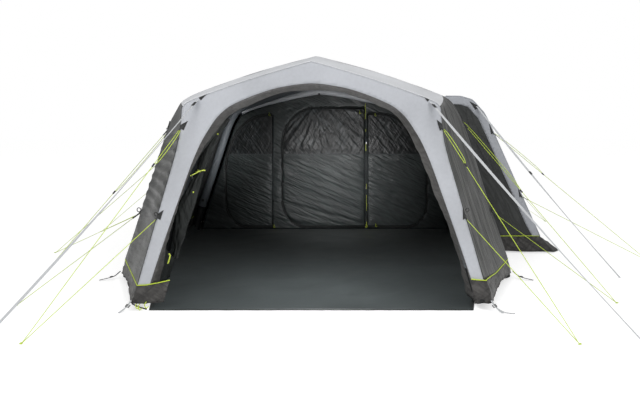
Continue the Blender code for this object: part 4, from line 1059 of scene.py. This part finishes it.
def inner_folds(x, z):
    """How far the wall's cloth comes forward: slanting folds below the seam, a crumpled panel above it."""
    hold = soft_step(0.0, 0.07, min(abs(x - door[0]) for door in DOORS.values()))
    below = soft_step(SEAM_Z, SEAM_Z - 0.09, z) * soft_step(0.02, 0.14, z)
    above = soft_step(SEAM_Z + 0.01, SEAM_Z + 0.1, z)
    v = z
    for _ in range(5):
        v = z + lerp(0.2, 0.5, min(max(v / SEAM_Z, 0.0), 1.0)) * x
    middle = soft_step(-0.72, -0.5, x) * soft_step(0.72, 0.55, x)
    phase = v * 2 * math.pi / 0.115 + 1.6 * smooth_noise((x * 0.8, 0, v * 1.3), 2.0)
    wave = abs(math.sin(phase / 2)) ** 0.7
    slant = wave * (0.004 + 0.006 * middle) * (0.85 + 0.7 * smooth_noise((x * 1.1, 0, v * 3.1), 7.0))
    main = (0.5 + 0.5 * math.sin(v * 2 * math.pi / 0.26)) * 0.006
    fan = math.atan2(x + 0.12, 1.95 - z)
    crumple = (ridged((fan * 7, z * 1.0, 0.0), 4.0)) * 0.011 + ridged((x * 5, z * 3, 0.0), 1.0) * 0.004
    return (max(0.0, slant + main) * below + crumple * above * (0.1 + 0.55 * middle)) * hold


def wall_spot(x, z, gap):
    return x, WALL_Y - inner_folds(x, z) * soft_step(0.0, 0.03, gap), z


def flat_strip(name, line, width, y, material, **links):
    """A tape along a line of (x, z) points on the inner wall."""
    across = []
    for k in range(len(line)):
        (x1, z1), (x2, z2) = line[max(k - 1, 0)], line[min(k + 1, len(line) - 1)]
        across.append((z1 - z2, 0.0, x2 - x1))
    thing = strip(name, [(x, y, z) for x, z in line], across, width, 0.0, material, **links)
    return thicken(thing, 0.001, 0.0)


TAPE_WIDTH = 0.019
TAPE_Y = WALL_Y - 0.0035


def door_trim(rider, door):
    """A zip round the door's free edge, with tapes on both sides of its coil, and a bound hinge seam."""
    hinge, far, top = door[:3]
    step = 0.009 if far > hinge else -0.009
    away = -0.011 if far > hinge else 0.011

    def edge(grow):
        points = door_outline(*door, grow=grow)
        return points[1:] + points[:1]

    door_edge = [p for p in edge(-0.012) if abs(p[0] - hinge) > 0.02]
    door_edge = [(hinge + step, door_edge[0][1])] + door_edge + [(hinge + step, door_edge[-1][1])]
    flat_strip(rider + "_tape", door_edge, TAPE_WIDTH, TAPE_Y, zip_tape, body=rider)
    flat_strip(rider + "_frame", edge(0.013), TAPE_WIDTH, TAPE_Y, zip_tape)
    tube(rider + "_coil", [(x, WALL_Y - 0.0045, z) for x, z in edge(0.001)[1:-1]], 0.0028, black, 6)
    flat_strip(rider + "_binding", [(hinge + away, 0.03), (hinge + away, top)], 0.016, WALL_Y - 0.003,
               inner_seam)


holes = [door_outline(*door, grow=0.002, inset=-0.003) for door in DOORS.values()]
panel("bedroom_wall_skin", room, wall_spot, inner_cloth, ("bedroom_front_wall",), holes, cell=0.022)
for key, door in DOORS.items():
    leaf = door_outline(*door, inset=0.0005)
    rider = "bedroom_door_" + key
    skin = panel(rider + "_skin", leaf, wall_spot, inner_cloth, (rider,), body=rider, cell=0.018)
    skin.data.materials.append(window_film)
    for face in skin.data.polygons:
        face.material_index = int(face.center.z > SEAM_Z + 0.004)
    seam_xs = [x / 100 for x in range(-160, 161, 2) if inside(leaf, x / 100, SEAM_Z)]
    seam = [(x, wall_spot(x, SEAM_Z, 0.05)[1] - 0.0015, SEAM_Z) for x in seam_xs]
    strip(rider + "_seam", seam, [(0, 0, 1)] * len(seam), 0.014, 0.001, inner_seam, body=rider)
    door_trim(rider, door)

# The inner tent's body behind its front wall: sides and ceiling, rear, floor and two dividers

rows = depth_rows(BEDROOM + 0.0035, LENGTH - 0.021, 0.08)
verts = []
for depth in rows:
    swell = math.sin(math.pi * (depth - rows[0]) / (rows[-1] - rows[0]))
    for x, z in room:
        sag = 0.02 * swell * (1 if z > 1.2 else 0.5)
        fold = (ridged((x * 2, depth * 1.4, z * 2), 4.0) - 0.5) * 0.01 * swell
        shrink = 1 - (sag + max(fold, -0.004) + 0.002) / 1.9
        verts.append((x * shrink, behind(depth), max(z * shrink, 0.002)))
inner_body = mesh_object("inner_tent_skin", verts, grid_faces(len(rows), len(room)), inner_cloth,
                         nodes=("inner_tent",))
sewn(inner_body)


def inner_rear_spot(x, z, gap):
    return x * 0.998, behind(LENGTH) - 0.0235 - abs(wall_folds(x, z, 9.0, 0.01)) * soft_step(0, 0.1, gap), z


panel("inner_rear_skin", room, inner_rear_spot, inner_cloth, cell=0.06, flip=True)
panel("inner_floor_skin", [(-1.8, 1.0236), (1.8, 1.0236), (1.8, 3.078), (-1.8, 3.078)],
      lambda x, y, gap: (x, y, 0.0022), sheet_cloth, cell=0.1)
for key, middle, top in (("left", -0.705, 1.927), ("right", 0.625, 1.955)):
    panel("divider_%s_skin" % key, [(1.026, 0.004), (3.072, 0.004), (3.072, top), (1.026, top)],
          lambda y, z, gap: (middle + wall_folds(y, z, 2.0 + middle, 0.01) * soft_step(0, 0.1, gap), y, z),
          inner_cloth, ("divider_" + key,), cell=0.06, offset=0.0)


# Side wing

def wing_line(move=0.0):
    fine = []
    for a, b in zip(WING, WING[1:]):
        for k in range(8):
            fine.append((lerp(a[0], b[0], k / 8), lerp(a[1], b[1], k / 8)))
    fine.append(WING[-1])
    smooth = [((a[0] + 2 * b[0] + c[0]) / 4, (a[1] + 2 * b[1] + c[1]) / 4)
              for a, b, c in zip(fine, fine[1:], fine[2:])]
    return shifted([fine[0]] + smooth + [fine[-1]], lambda z: move)


edge = [(x + 0.002, z + 0.001) for x, z in profile(2.0, 2.05, PIPING, 0.0, 30)]
edge[-1] = (edge[-1][0], MAIN_PIPING_Z)
outer = wing_line()
end_wall = outer + list(reversed([p for p in edge if p[0] > WING[0][0]]))
band_in = [(x, max(z, MAIN_PIPING_Z)) for x, z in wing_line(0.1) if z > MAIN_PIPING_Z - 0.05]
band_shape = [p for p in outer if p[0] > 1.42] + list(reversed([p for p in band_in if p[0] > 1.42]))
for end_name, at, face in (("front", WING_FRONT_Y, -1), ("rear", WING_REAR_Y, 1)):
    def end_spot(x, z, gap, at=at, face=face):
        fold = (ridged((x * 2.2 + z * 1.1, 0.0, z * 1.1), 3.0) - 0.5) * 0.016
        return x, at - face * (0.0005 + abs(fold) * soft_step(0, 0.12, gap)), z

    panel("wing_%s_skin" % end_name, end_wall, end_spot, wing_dark, ("wing_%s_wall" % end_name,), cell=0.03,
          flip=face > 0)
    panel("wing_%s_band" % end_name, band_shape, lambda x, z, gap: (x, at + face * 0.0018, z), wing_light,
          cell=0.02, flip=face > 0)

rows = depth_rows(WING_START + 0.0005, WING_END - 0.0005, 0.05)
roof_part = [(WING[0][0], 1.9)] + [p for p in outer if p[1] > 1.69]
verts = []
for depth in rows:
    swell = math.sin(math.pi * (depth - WING_START) / (WING_END - WING_START))
    for t, (x, z) in zip(shares(len(roof_part)), roof_part):
        hold = soft_step(0.0, 0.25, min(t, 1 - t))
        drop = 0.02 * swell * hold + (ridged((x * 3, depth * 2, 0), 5.0) - 0.5) * 0.008 * swell
        verts.append((x, behind(depth), z - drop))
# The wing roof takes the same cloth, painted lighter for the light on its top.
wing_roof = mesh_object("wing_roof_skin", verts, grid_faces(len(rows), len(roof_part)), lit_roof_cloth,
                        nodes=("wing_roof",))
sewn(wing_roof, lining=lining_cloth)

low_corner = Vector((WING[4][0], WING_FRONT_Y + 0.0033, MAIN_PIPING_Z))
high_corner = Vector((WING[3][0], WING_FRONT_Y + 0.0033, WING[3][1]))
slope = (high_corner - low_corner).length
up = (high_corner - low_corner).normalized()
outwards = Vector((up.z, 0.0, -up.x))


def wing_door_line(width, height, corner, start, sill):
    pts = [(start, sill)]
    for (cx, cz), turn in (((width - corner, corner), -90), ((width - corner, height - corner), 0)):
        for t in shares(12):
            a = math.radians(turn + 90 * t)
            pts.append((start + cx + corner * math.cos(a), sill + cz + corner * math.sin(a)))
    pts.append((start, sill + height))
    return pts


def slope_spot(along, rise, gap):
    fold = (ridged((along * 1.6, rise * 1.2, 0.0), 8.0) - 0.5) * 0.014 * soft_step(0, 0.1, gap)
    return low_corner + Vector((0, along, 0)) + up * rise - outwards * (0.0006 + max(fold, -0.002))


wall_line = [(0.0, 0.001), (1.6734, 0.001), (1.6734, slope - 0.002), (0.0, slope - 0.002)]
panel("wing_side_skin", wall_line, slope_spot, wing_dark, ("wing_side_wall",),
      (wing_door_line(0.806, 1.404, 0.302, 0.396, 0.098),), cell=0.03)
panel("wing_door_skin", wing_door_line(0.8, 1.4, 0.3, 0.4, 0.1), slope_spot, wing_dark, ("wing_door",),
      body="wing_door", cell=0.03)

front, rear = WING_FRONT_Y - 0.0005, WING_REAR_Y + 0.0005
top = [(x, y, MAIN_PIPING_Z) for x, y in ((1.96, front), (2.6, front), (2.7, front), (2.7005, front + 0.16),
                                          (2.7005, rear), (1.962, rear))]
low = [(2.006, front, 0.014), (2.66, front - 0.012, 0.014), (2.86, front - 0.03, 0.012),
       (2.98, front + 0.1, 0.008), (2.79, rear, 0.014), (2.006, rear, 0.014)]
skirt_piece("skirt_wing", top, low, 6.0, wing_skirt_cloth)

# The rolled front door, tied along the left of the arch

ROLL_TOP = 1.63
ROLL_FOOT = 0.36
ROLL_Y = behind(0.3) + 0.0965
ROLL_RADIUS = 0.052
ROLL_LEAN = 0.02
ROLL_SHARES = ((0.0, 0.4), (0.06, 0.62), (0.3, 0.8), (0.38, 0.66), (0.48, 1.1), (0.65, 1.6), (0.82, 1.2),
               (0.94, 0.55), (1.0, 0.62))
arch_side = sorted([(-x, z) for x, z in arch_line(1.0) if x <= 0.0], key=lambda p: -p[1])


def arch_x(z):
    for (x, high), (x2, low) in zip(arch_side, arch_side[1:]):
        if low <= z <= high:
            return lerp(x, x2, (high - z) / max(high - low, 1e-9))
    return arch_side[-1][0]


def roll_share(t):
    for (a, va), (b, vb) in zip(ROLL_SHARES, ROLL_SHARES[1:]):
        if a <= t <= b:
            return lerp(va, vb, soft_step(0.0, 1.0, (t - a) / (b - a)))


rings, columns = 90, 40
verts = []
for t in shares(rings):
    z = lerp(ROLL_TOP, ROLL_FOOT, t)
    swell = roll_share(t) * 0.94
    x = -arch_x(z) - ROLL_LEAN * roll_share(t)
    for c in range(columns):
        a = 2 * math.pi * c / columns
        spiral = 0.10 * math.cos(3 * a + t * 2.0) + 0.05 * math.cos(7 * a - t * 5)
        crush = (ridged((math.cos(a) * 1.2, math.sin(a) * 1.2, t * 7), 5.0) - 0.5) * 0.16
        radius = ROLL_RADIUS * swell * (1 + spiral + crush)
        verts.append((x + radius * math.cos(a), ROLL_Y + radius * math.sin(a), z))
faces = grid_faces(rings, columns, True)
faces.append(tuple(range(columns)))
faces.append(tuple(reversed([(rings - 1) * columns + c for c in range(columns)])))
mesh_object("door_roll", verts, faces, curtain_cloth, nodes=("door_curtain",))

for name, y in (("wing_front_edge", WING_FRONT_Y + 0.002), ("wing_rear_edge", WING_REAR_Y - 0.002)):
    tube(name, [(x, y, z) for x, z in outer if x > 1.5], 0.0085, wing_light, 10)


# Guy patches: a dark gusset sewn to the fly, with a webbing loop and a ring that the line runs through

def tree_of(thing):
    mesh = thing.data
    faces = [tuple(p.vertices) for p in mesh.polygons]
    return BVHTree.FromPolygons([v.co.copy() for v in mesh.vertices], faces)


def on_cover(tree, point, out, lift):
    spot, normal, _, _ = tree.find_nearest(Vector(point))
    if normal.dot(out) < 0:
        normal = -normal
    return spot + normal * lift


def gusset(name, tree, corners, out):
    """A triangle of cloth laid on a cover."""
    a, b, c = (Vector(p) for p in corners)
    steps = 7
    rows, verts = [], []
    for i in range(steps + 1):
        rows.append([len(verts) + j for j in range(i + 1)])
        for j in range(i + 1):
            p = a + (b - a) * ((i - j) / steps) + (c - a) * (j / steps)
            verts.append(on_cover(tree, p, out, 0.003))
    faces = []
    for upper, lower in zip(rows, rows[1:]):
        for k, v in enumerate(upper):
            faces.append((v, lower[k], lower[k + 1]))
            if k + 1 < len(upper):
                faces.append((v, lower[k + 1], upper[k + 1]))
    thicken(mesh_object(name + "_gusset", verts, faces, patch_cloth), 0.0016, 0.0)


def guy_patch(name, tree, foot, tip, width, out):
    foot, tip, out = Vector(foot), Vector(tip), Vector(out)
    along = (tip - foot).normalized()
    aside = along.cross(out).normalized() * (width / 2)
    gusset(name, tree, (tip, foot + along * 0.022 + aside, foot + along * 0.006 - aside), out)
    spot = on_cover(tree, foot, out, 0.006)
    ring(name + "_ring", spot, along.cross(out), 0.009, 0.0018, black)
    loop = [on_cover(tree, foot + along * step, out, 0.005) for step in (0.045, 0.028, 0.01)] + [spot]
    strip(name + "_loop", loop, [aside] * 4, 0.014, 0.0, dark_webbing)


# The webbing ends that join the guy lines of the sides and the wing to their patches
for name, upper, lower, peg, _ in GUYS[2:]:
    width, high, low = (0.024, 0.09, 0.125) if name == "guy_canopy_left" else (0.016, 0.085, 0.075)
    for level, start, length in (("upper", upper, high), ("lower", lower, low)):
        start = Vector(start)
        along = (Vector((*peg, GROUND)) - start).normalized()
        box_piece("%s_tab_%s" % (name, level), start + along * (length / 2), (width, 0.006, length),
                  dark_webbing, along.to_track_quat("Z", "Y").to_matrix())

FORWARDS = Vector((0, -1, 0))
fascia_tree = tree_of(covers["fascia"])
for name, foot, tip, width in (
        ("front_left_upper", (-1.1172, -3.1, 1.53), (-1.045, -3.1, 1.605), 0.06),
        ("front_right_upper", (1.1172, -3.1, 1.53), (1.062, -3.1, 1.615), 0.06),
        ("front_left_lower", (-1.3168, -3.1, 0.77), (-1.25, -3.1, 0.85), 0.065),
        ("front_right_lower", (1.3168, -3.1, 0.77), (1.285, -3.1, 0.885), 0.065)):
    guy_patch(name, fascia_tree, foot, tip, width, FORWARDS)
for key, side, depth, cover, high in (("canopy_left", -1, BEAMS[1], "canopy_side_left", 1.53),
                                      ("canopy_right", 1, BEAMS[1], "canopy_side_right", 1.6),
                                      ("middle_left", -1, BEAMS[2], "side_left", 1.53),
                                      ("bedroom_left", -1, BEAMS[3], "side_left", 1.53)):
    tree = tree_of(covers[cover])
    shift = -0.06 if depth == BEAMS[1] else 0.0
    for level, z in (("upper", high), ("lower", 0.68)):
        foot = (side * half_width(depth, z), behind(depth), z)
        tip = (side * half_width(depth, z + 0.12), behind(depth) + shift, z + 0.12)
        guy_patch("%s_%s" % (key, level), tree, foot, tip, 0.075, (side, 0, 0.3))
for key, y, out in (("front", WING_FRONT_Y, FORWARDS), ("rear", WING_REAR_Y, -FORWARDS)):
    tree = tree_of(bpy.data.objects["wing_%s_band" % key])
    guy_patch("wing_%s_upper" % key, tree, (2.125, y, 1.46), (2.075, y, 1.585), 0.055, out)
    guy_patch("wing_%s_lower" % key, tree, (2.475, y, 0.68), (2.43, y, 0.785), 0.05, out)
wing_tree = tree_of(bpy.data.objects["wing_front_band"])
for name, tree, corners in (
        ("wing_strap", wing_tree, ((1.83, -0.7, 1.865), (1.97, -0.7, 1.79), (1.9, -0.7, 1.76))),
        ("left_strap", fascia_tree, ((-0.868, -3.1, 1.852), (-0.952, -3.1, 1.8), (-0.935, -3.1, 1.778))),
        ("right_strap", fascia_tree, ((0.925, -3.1, 1.845), (0.985, -3.1, 1.768), (1.003, -3.1, 1.785)))):
    gusset(name, tree, corners, FORWARDS)


# Ladder buckles on the storm straps

def ladder(name, centre, along, across, width, length, thick=0.005):
    along, across = Vector(along).normalized(), Vector(across).normalized()
    centre = Vector(centre)
    turn = Matrix((across, along, across.cross(along).normalized())).transposed()
    for k, shift in enumerate((-0.5, 0.0, 0.5)):
        bar = (width, thick, 0.005)
        box_piece("%s_bar%d" % (name, k), centre + along * (shift * length), bar, black, turn)
    for k, shift in enumerate((-0.5, 0.5)):
        bar = (thick, length + thick, 0.005)
        box_piece("%s_side%d" % (name, k), centre + across * (shift * width), bar, black, turn)


for name, share in (("storm_strap_left", 0.02), ("storm_strap_right", 0.02), ("storm_strap_wing", 0.42)):
    start, end = STRAPS[name]
    along = (end - start).normalized()
    across = along.cross(Vector((0, 0, 1))).normalized()
    spot = strap_spot(start, end, share) + Vector((0, -0.012, 0.004))
    ladder(name + "_buckle", spot, along, across, STRAP_WIDTH - 0.004, 0.03, 0.01)

# Ties that hold the rolled door, and the inner tent's toggles, buttons and zip cords

TIE = 0.38
z = lerp(ROLL_TOP, ROLL_FOOT, TIE)
x, y = -arch_x(z) - ROLL_LEAN * roll_share(TIE), ROLL_Y
size = ROLL_RADIUS * roll_share(TIE) * 1.12 + 0.004
loop = [(x + size * math.cos(a), y + size * math.sin(a), z + 0.012 * math.cos(a + 0.6))
        for a in (2 * math.pi * k / 24 for k in range(25))]
tube("roll_tie_1", loop, 0.0045, lime, ends=False)
fixed = (-arch_x(z) - 0.012, behind(0.03), z - 0.01)
anchor = spline([fixed, (fixed[0] + 0.02, y - size - 0.06, z + 0.012),
                 (x - size * 0.3, y - size - 0.01, z + 0.012), (x + size * 0.3, y - size, z)], 5)
tube("roll_anchor_1", anchor, 0.004, lime)
box_piece("roll_toggle_1", (fixed[0] + 0.012, fixed[1] + 0.01, z - 0.02), (0.012, 0.012, 0.03), black)
low_x = -arch_x(0.46)
tail = spline([(low_x + dx, behind(depth), z) for dx, depth, z in (
    (0.004, 0.05, 0.47), (0.016, 0.04, 0.455), (0.008, 0.04, 0.42), (-0.004, 0.045, 0.385))], 5)
tube("roll_tail", tail, 0.0055, lime)
for number, z in enumerate((1.49, 0.97), start=1):
    box_piece("roll_button_%d" % number, (-arch_x(z) + 0.01, behind(0.29), z), (0.012, 0.012, 0.014), lime)

TOGGLES = (("bedroom_door_left", -0.84, 1.736), ("bedroom_door_middle", 0.524, 1.766),
           ("bedroom_door_right", 0.757, 1.728), ("tent", -0.765, 0.05), ("tent", 0.617, 0.055),
           ("bedroom_door_right", 0.765, 0.06))
for number, (rider, x, z) in enumerate(TOGGLES, start=1):
    y = WALL_Y - 0.024
    loop = spline([(x, y + 0.008, z + 0.02), (x + 0.006, y, z + 0.005), (x - 0.004, y - 0.004, z - 0.014),
                   (x + 0.01, y, z - 0.026), (x + 0.022, y, z - 0.012)], 4)
    tube("toggle_cord_%d" % number, loop, 0.0035, lime, body=rider)
for number, (x, z) in enumerate(((-0.775, 1.389), (-0.765, 0.425), (0.625, 1.374), (0.625, 0.41)), start=1):
    box_piece("button_%d" % number, (x, WALL_Y - 0.008, z), (0.026, 0.01, 0.026), black, bevel=0.4)
ZIP_CORDS = ((1.9, 1.66), (1.51, 1.47), (1.284, 1.178), (0.68, 0.605), (0.515, 0.274), (0.11, 0.03))
for number, (high, low) in enumerate(ZIP_CORDS, start=1):
    line = [(0.612 + 0.022 * (1 - z / 1.9) + 0.002 * math.sin(z * 40), WALL_Y - 0.013, z)
            for z in (lerp(high, low, t) for t in shares(11))]
    tube("zip_cord_%d" % number, line, 0.0036, lime)

box_piece("ridge_hook", (-0.085, behind(BEAMS[3]) - 0.016, 2.03), (0.032, 0.02, 0.032), black, bevel=0.4)
ring("door_ring", (1.354, WALL_Y - 0.0125, 1.4645), (0, 1, 0), 0.075, 0.0032, dark_webbing,
     body="bedroom_door_right")


# Peg straps and elastics at the front corners and at the second beam

def belt(name, points, width, material, normal=(0, 0, 1)):
    path = spline(points, 6)
    tape(name, path, [normal] * len(path), width, 0.0018, material)


belt("canopy_left_pull", [(-1.5, -1.975, 1.607), (-1.515, -1.968, 1.565), (-1.531, -1.966, 1.523)], 0.03,
     dark_webbing, (0, -1, 0.2))
ring("canopy_left_hook", (-1.826, -1.982, 0.699), (0.2, 1, 0), 0.021, 0.0045, black)
ring("front_left_hook", (-1.313, -3.112, 0.816), (0.3, 1, 0.2), 0.016, 0.004, black)
ring("front_right_hook", (1.319, -3.112, 0.852), (-0.3, 1, 0.2), 0.016, 0.004, black)
SIDE_PEG = ((2.015, -1.98, 0.07), (2.06, -2.02, 0.03), (2.11, -2.06, 0.018), (2.19, -2.1, 0.006))
CORNER_PEG = ((1.525, -3.105, 0.085), (1.545, -3.125, 0.05), (1.575, -3.15, 0.02), (1.6, -3.19, 0.005))
for word, side in (("left", -1), ("right", 1)):
    belt("peg_strap_side_" + word, [(side * x, y, z) for x, y, z in SIDE_PEG], 0.022, dark_webbing)
    ladder("peg_buckle_side_" + word, (side * 2.085, -2.045, 0.028), (side * 0.8, -0.6, -0.2),
           (0.6 * side, 0.8, 0), 0.028, 0.022)
    belt("peg_strap_corner_" + word, [(side * x, y, z) for x, y, z in CORNER_PEG], 0.024, grey_webbing)
    ladder("peg_buckle_corner_" + word, (side * 1.545, -3.13, 0.046), (side * 0.5, -0.5, -0.7),
           (0.8, 0.0, 0.3 * side), 0.03, 0.022)
belt("peg_strap_sheet_left", [(-1.52, -3.106, 0.06), (-1.46, -3.115, 0.035), (-1.39, -3.11, 0.012)], 0.014,
     dark_webbing, (0, 1, 0.3))
belt("peg_tail_right", [(1.55, -3.13, 0.04), (1.6, -3.17, 0.012), (1.66, -3.2, 0.006), (1.7, -3.2, 0.004)],
     0.02, grey_webbing)
for number, (x, z) in enumerate(((-1.47, 0.055), (-1.45, 0.045), (-1.395, 0.062)), start=1):
    loop = spline([(x, -3.106, z + 0.012), (x - 0.012, -3.12, z - 0.01), (x + 0.004, -3.125, z - 0.035),
                   (x + 0.022, -3.118, z - 0.02)], 5)
    tube("peg_elastic_%d" % number, loop, 0.004, lime)


# Seam tapes over the beams

def seam_tape(name, cover, depth, low, high, count, out, material):
    """A stitched tape on a cover along the fly's profile; out(p) is the way out of the tent."""
    line = [(x, behind(depth), z) for x, z in profile(depth, low, high, 0.0, count)]
    tree = tree_of(cover)
    sides = [Vector(out(p)) for p in line]
    laid = [on_cover(tree, p, side, 0.0022) for p, side in zip(line, sides)]
    tape(name, laid, sides, 0.03, 0.0008, material)


for number, depth in enumerate(BEAMS[1:4], start=2):
    seam_tape("roof_seam_%d" % number, roof, depth, -2.95, min(right_seam(depth), 2.95), 80,
              lambda p: (p[0] * 0.3, 0, 1), light_seam)
for number, depth, cover, side, high in ((2, BEAMS[1] + 0.02, "side_left", -1, 3.0),
                                         (3, BEAMS[2], "side_left", -1, 3.0),
                                         (4, BEAMS[3], "side_left", -1, 3.0),
                                         (5, BEAMS[1] + 0.02, "side_right_front", 1, 2.4)):
    seam_tape("side_seam_%d" % number, covers[cover], depth, side * high, side * 6.95, 60,
              lambda p: (side, 0, 0.4), dark_seam)

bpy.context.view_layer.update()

# Floor, backdrop and light

floor = bpy.data.meshes.new("floor")
FLOOR_CORNERS = [(x, y, -0.002) for x, y in ((-60, -60), (60, -60), (60, 60), (-60, 60))]
floor.from_pydata(FLOOR_CORNERS, [], [(0, 1, 2, 3)])
floor = bpy.data.objects.new("floor", floor)
bpy.context.scene.collection.objects.link(floor)
n = Nodes("floor")
n.put(Base_Color=(0.72, 0.72, 0.72, 1.0), Roughness=1.0, Specular_IOR_Level=0.0)
rays = n.add("ShaderNodeLightPath").outputs
seen = n.math("MAXIMUM", rays["Is Camera Ray"], rays["Is Glossy Ray"])
seen = n.math("MAXIMUM", seen, rays["Is Transmission Ray"])
glow = n.add("ShaderNodeEmission")
n.link(n.math("MULTIPLY", seen, 0.55), glow.inputs["Strength"])
both = n.add("ShaderNodeAddShader")
n.link(n.shader.outputs[0], both.inputs[0])
n.link(glow.outputs[0], both.inputs[1])
n.link(both.outputs[0], n.tree.nodes["Material Output"].inputs["Surface"])
floor.data.materials.append(n.material)

world = bpy.data.worlds.new("world")
bpy.context.scene.world = world
world.use_nodes = True
tree = world.node_tree
background = tree.nodes["Background"]
rays = tree.nodes.new("ShaderNodeLightPath").outputs
first = tree.nodes.new("ShaderNodeMath")
first.operation = "MAXIMUM"
tree.links.new(rays["Is Camera Ray"], first.inputs[0])
tree.links.new(rays["Is Transmission Ray"], first.inputs[1])
level = tree.nodes.new("ShaderNodeMapRange")
level.inputs["To Min"].default_value = 0.62
level.inputs["To Max"].default_value = 1.0
tree.links.new(first.outputs[0], level.inputs["Value"])
background.inputs["Color"].default_value = (1.0, 1.0, 1.0, 1.0)
tree.links.new(level.outputs[0], background.inputs["Strength"])


def area_light(name, spot, target, size, watts, spread=180):
    lamp = bpy.data.objects.new(name, bpy.data.lights.new(name, "AREA"))
    lamp.data.size = size
    lamp.data.energy = watts
    lamp.data.spread = math.radians(spread)
    lamp.location = spot
    lamp.visible_camera = False
    lamp.rotation_euler = (Vector(target) - Vector(spot)).to_track_quat("-Z", "Y").to_euler()
    bpy.context.scene.collection.objects.link(lamp)


# Two soft studio lamps, and four small ones for the light that comes through the cloth and from the ground
area_light("key", (-5.0, -11.0, 7.4), (0.0, -1.0, 0.8), 6.0, 365)
area_light("fill", (6.0, -10.0, 6.6), (0.0, -1.0, 0.8), 6.0, 380)
area_light("room", (0.1, -1.9, 1.1), (0.14, 1.0, 0.85), 0.6, 7.7, 58)
area_light("door", (0.0, -2.76, 1.8), (0.0, -2.7, 0.0), 1.0, 25, 136)
area_light("beam", (0.5, -1.9, 1.35), (-1.68, 0.95, 1.3), 0.4, 2.2, 24)
area_light("bounce", (0.0, -2.2, 0.06), (0.0, -2.5, 2.0), 1.8, 19, 110)

bpy.context.scene.view_settings.view_transform = "Standard"
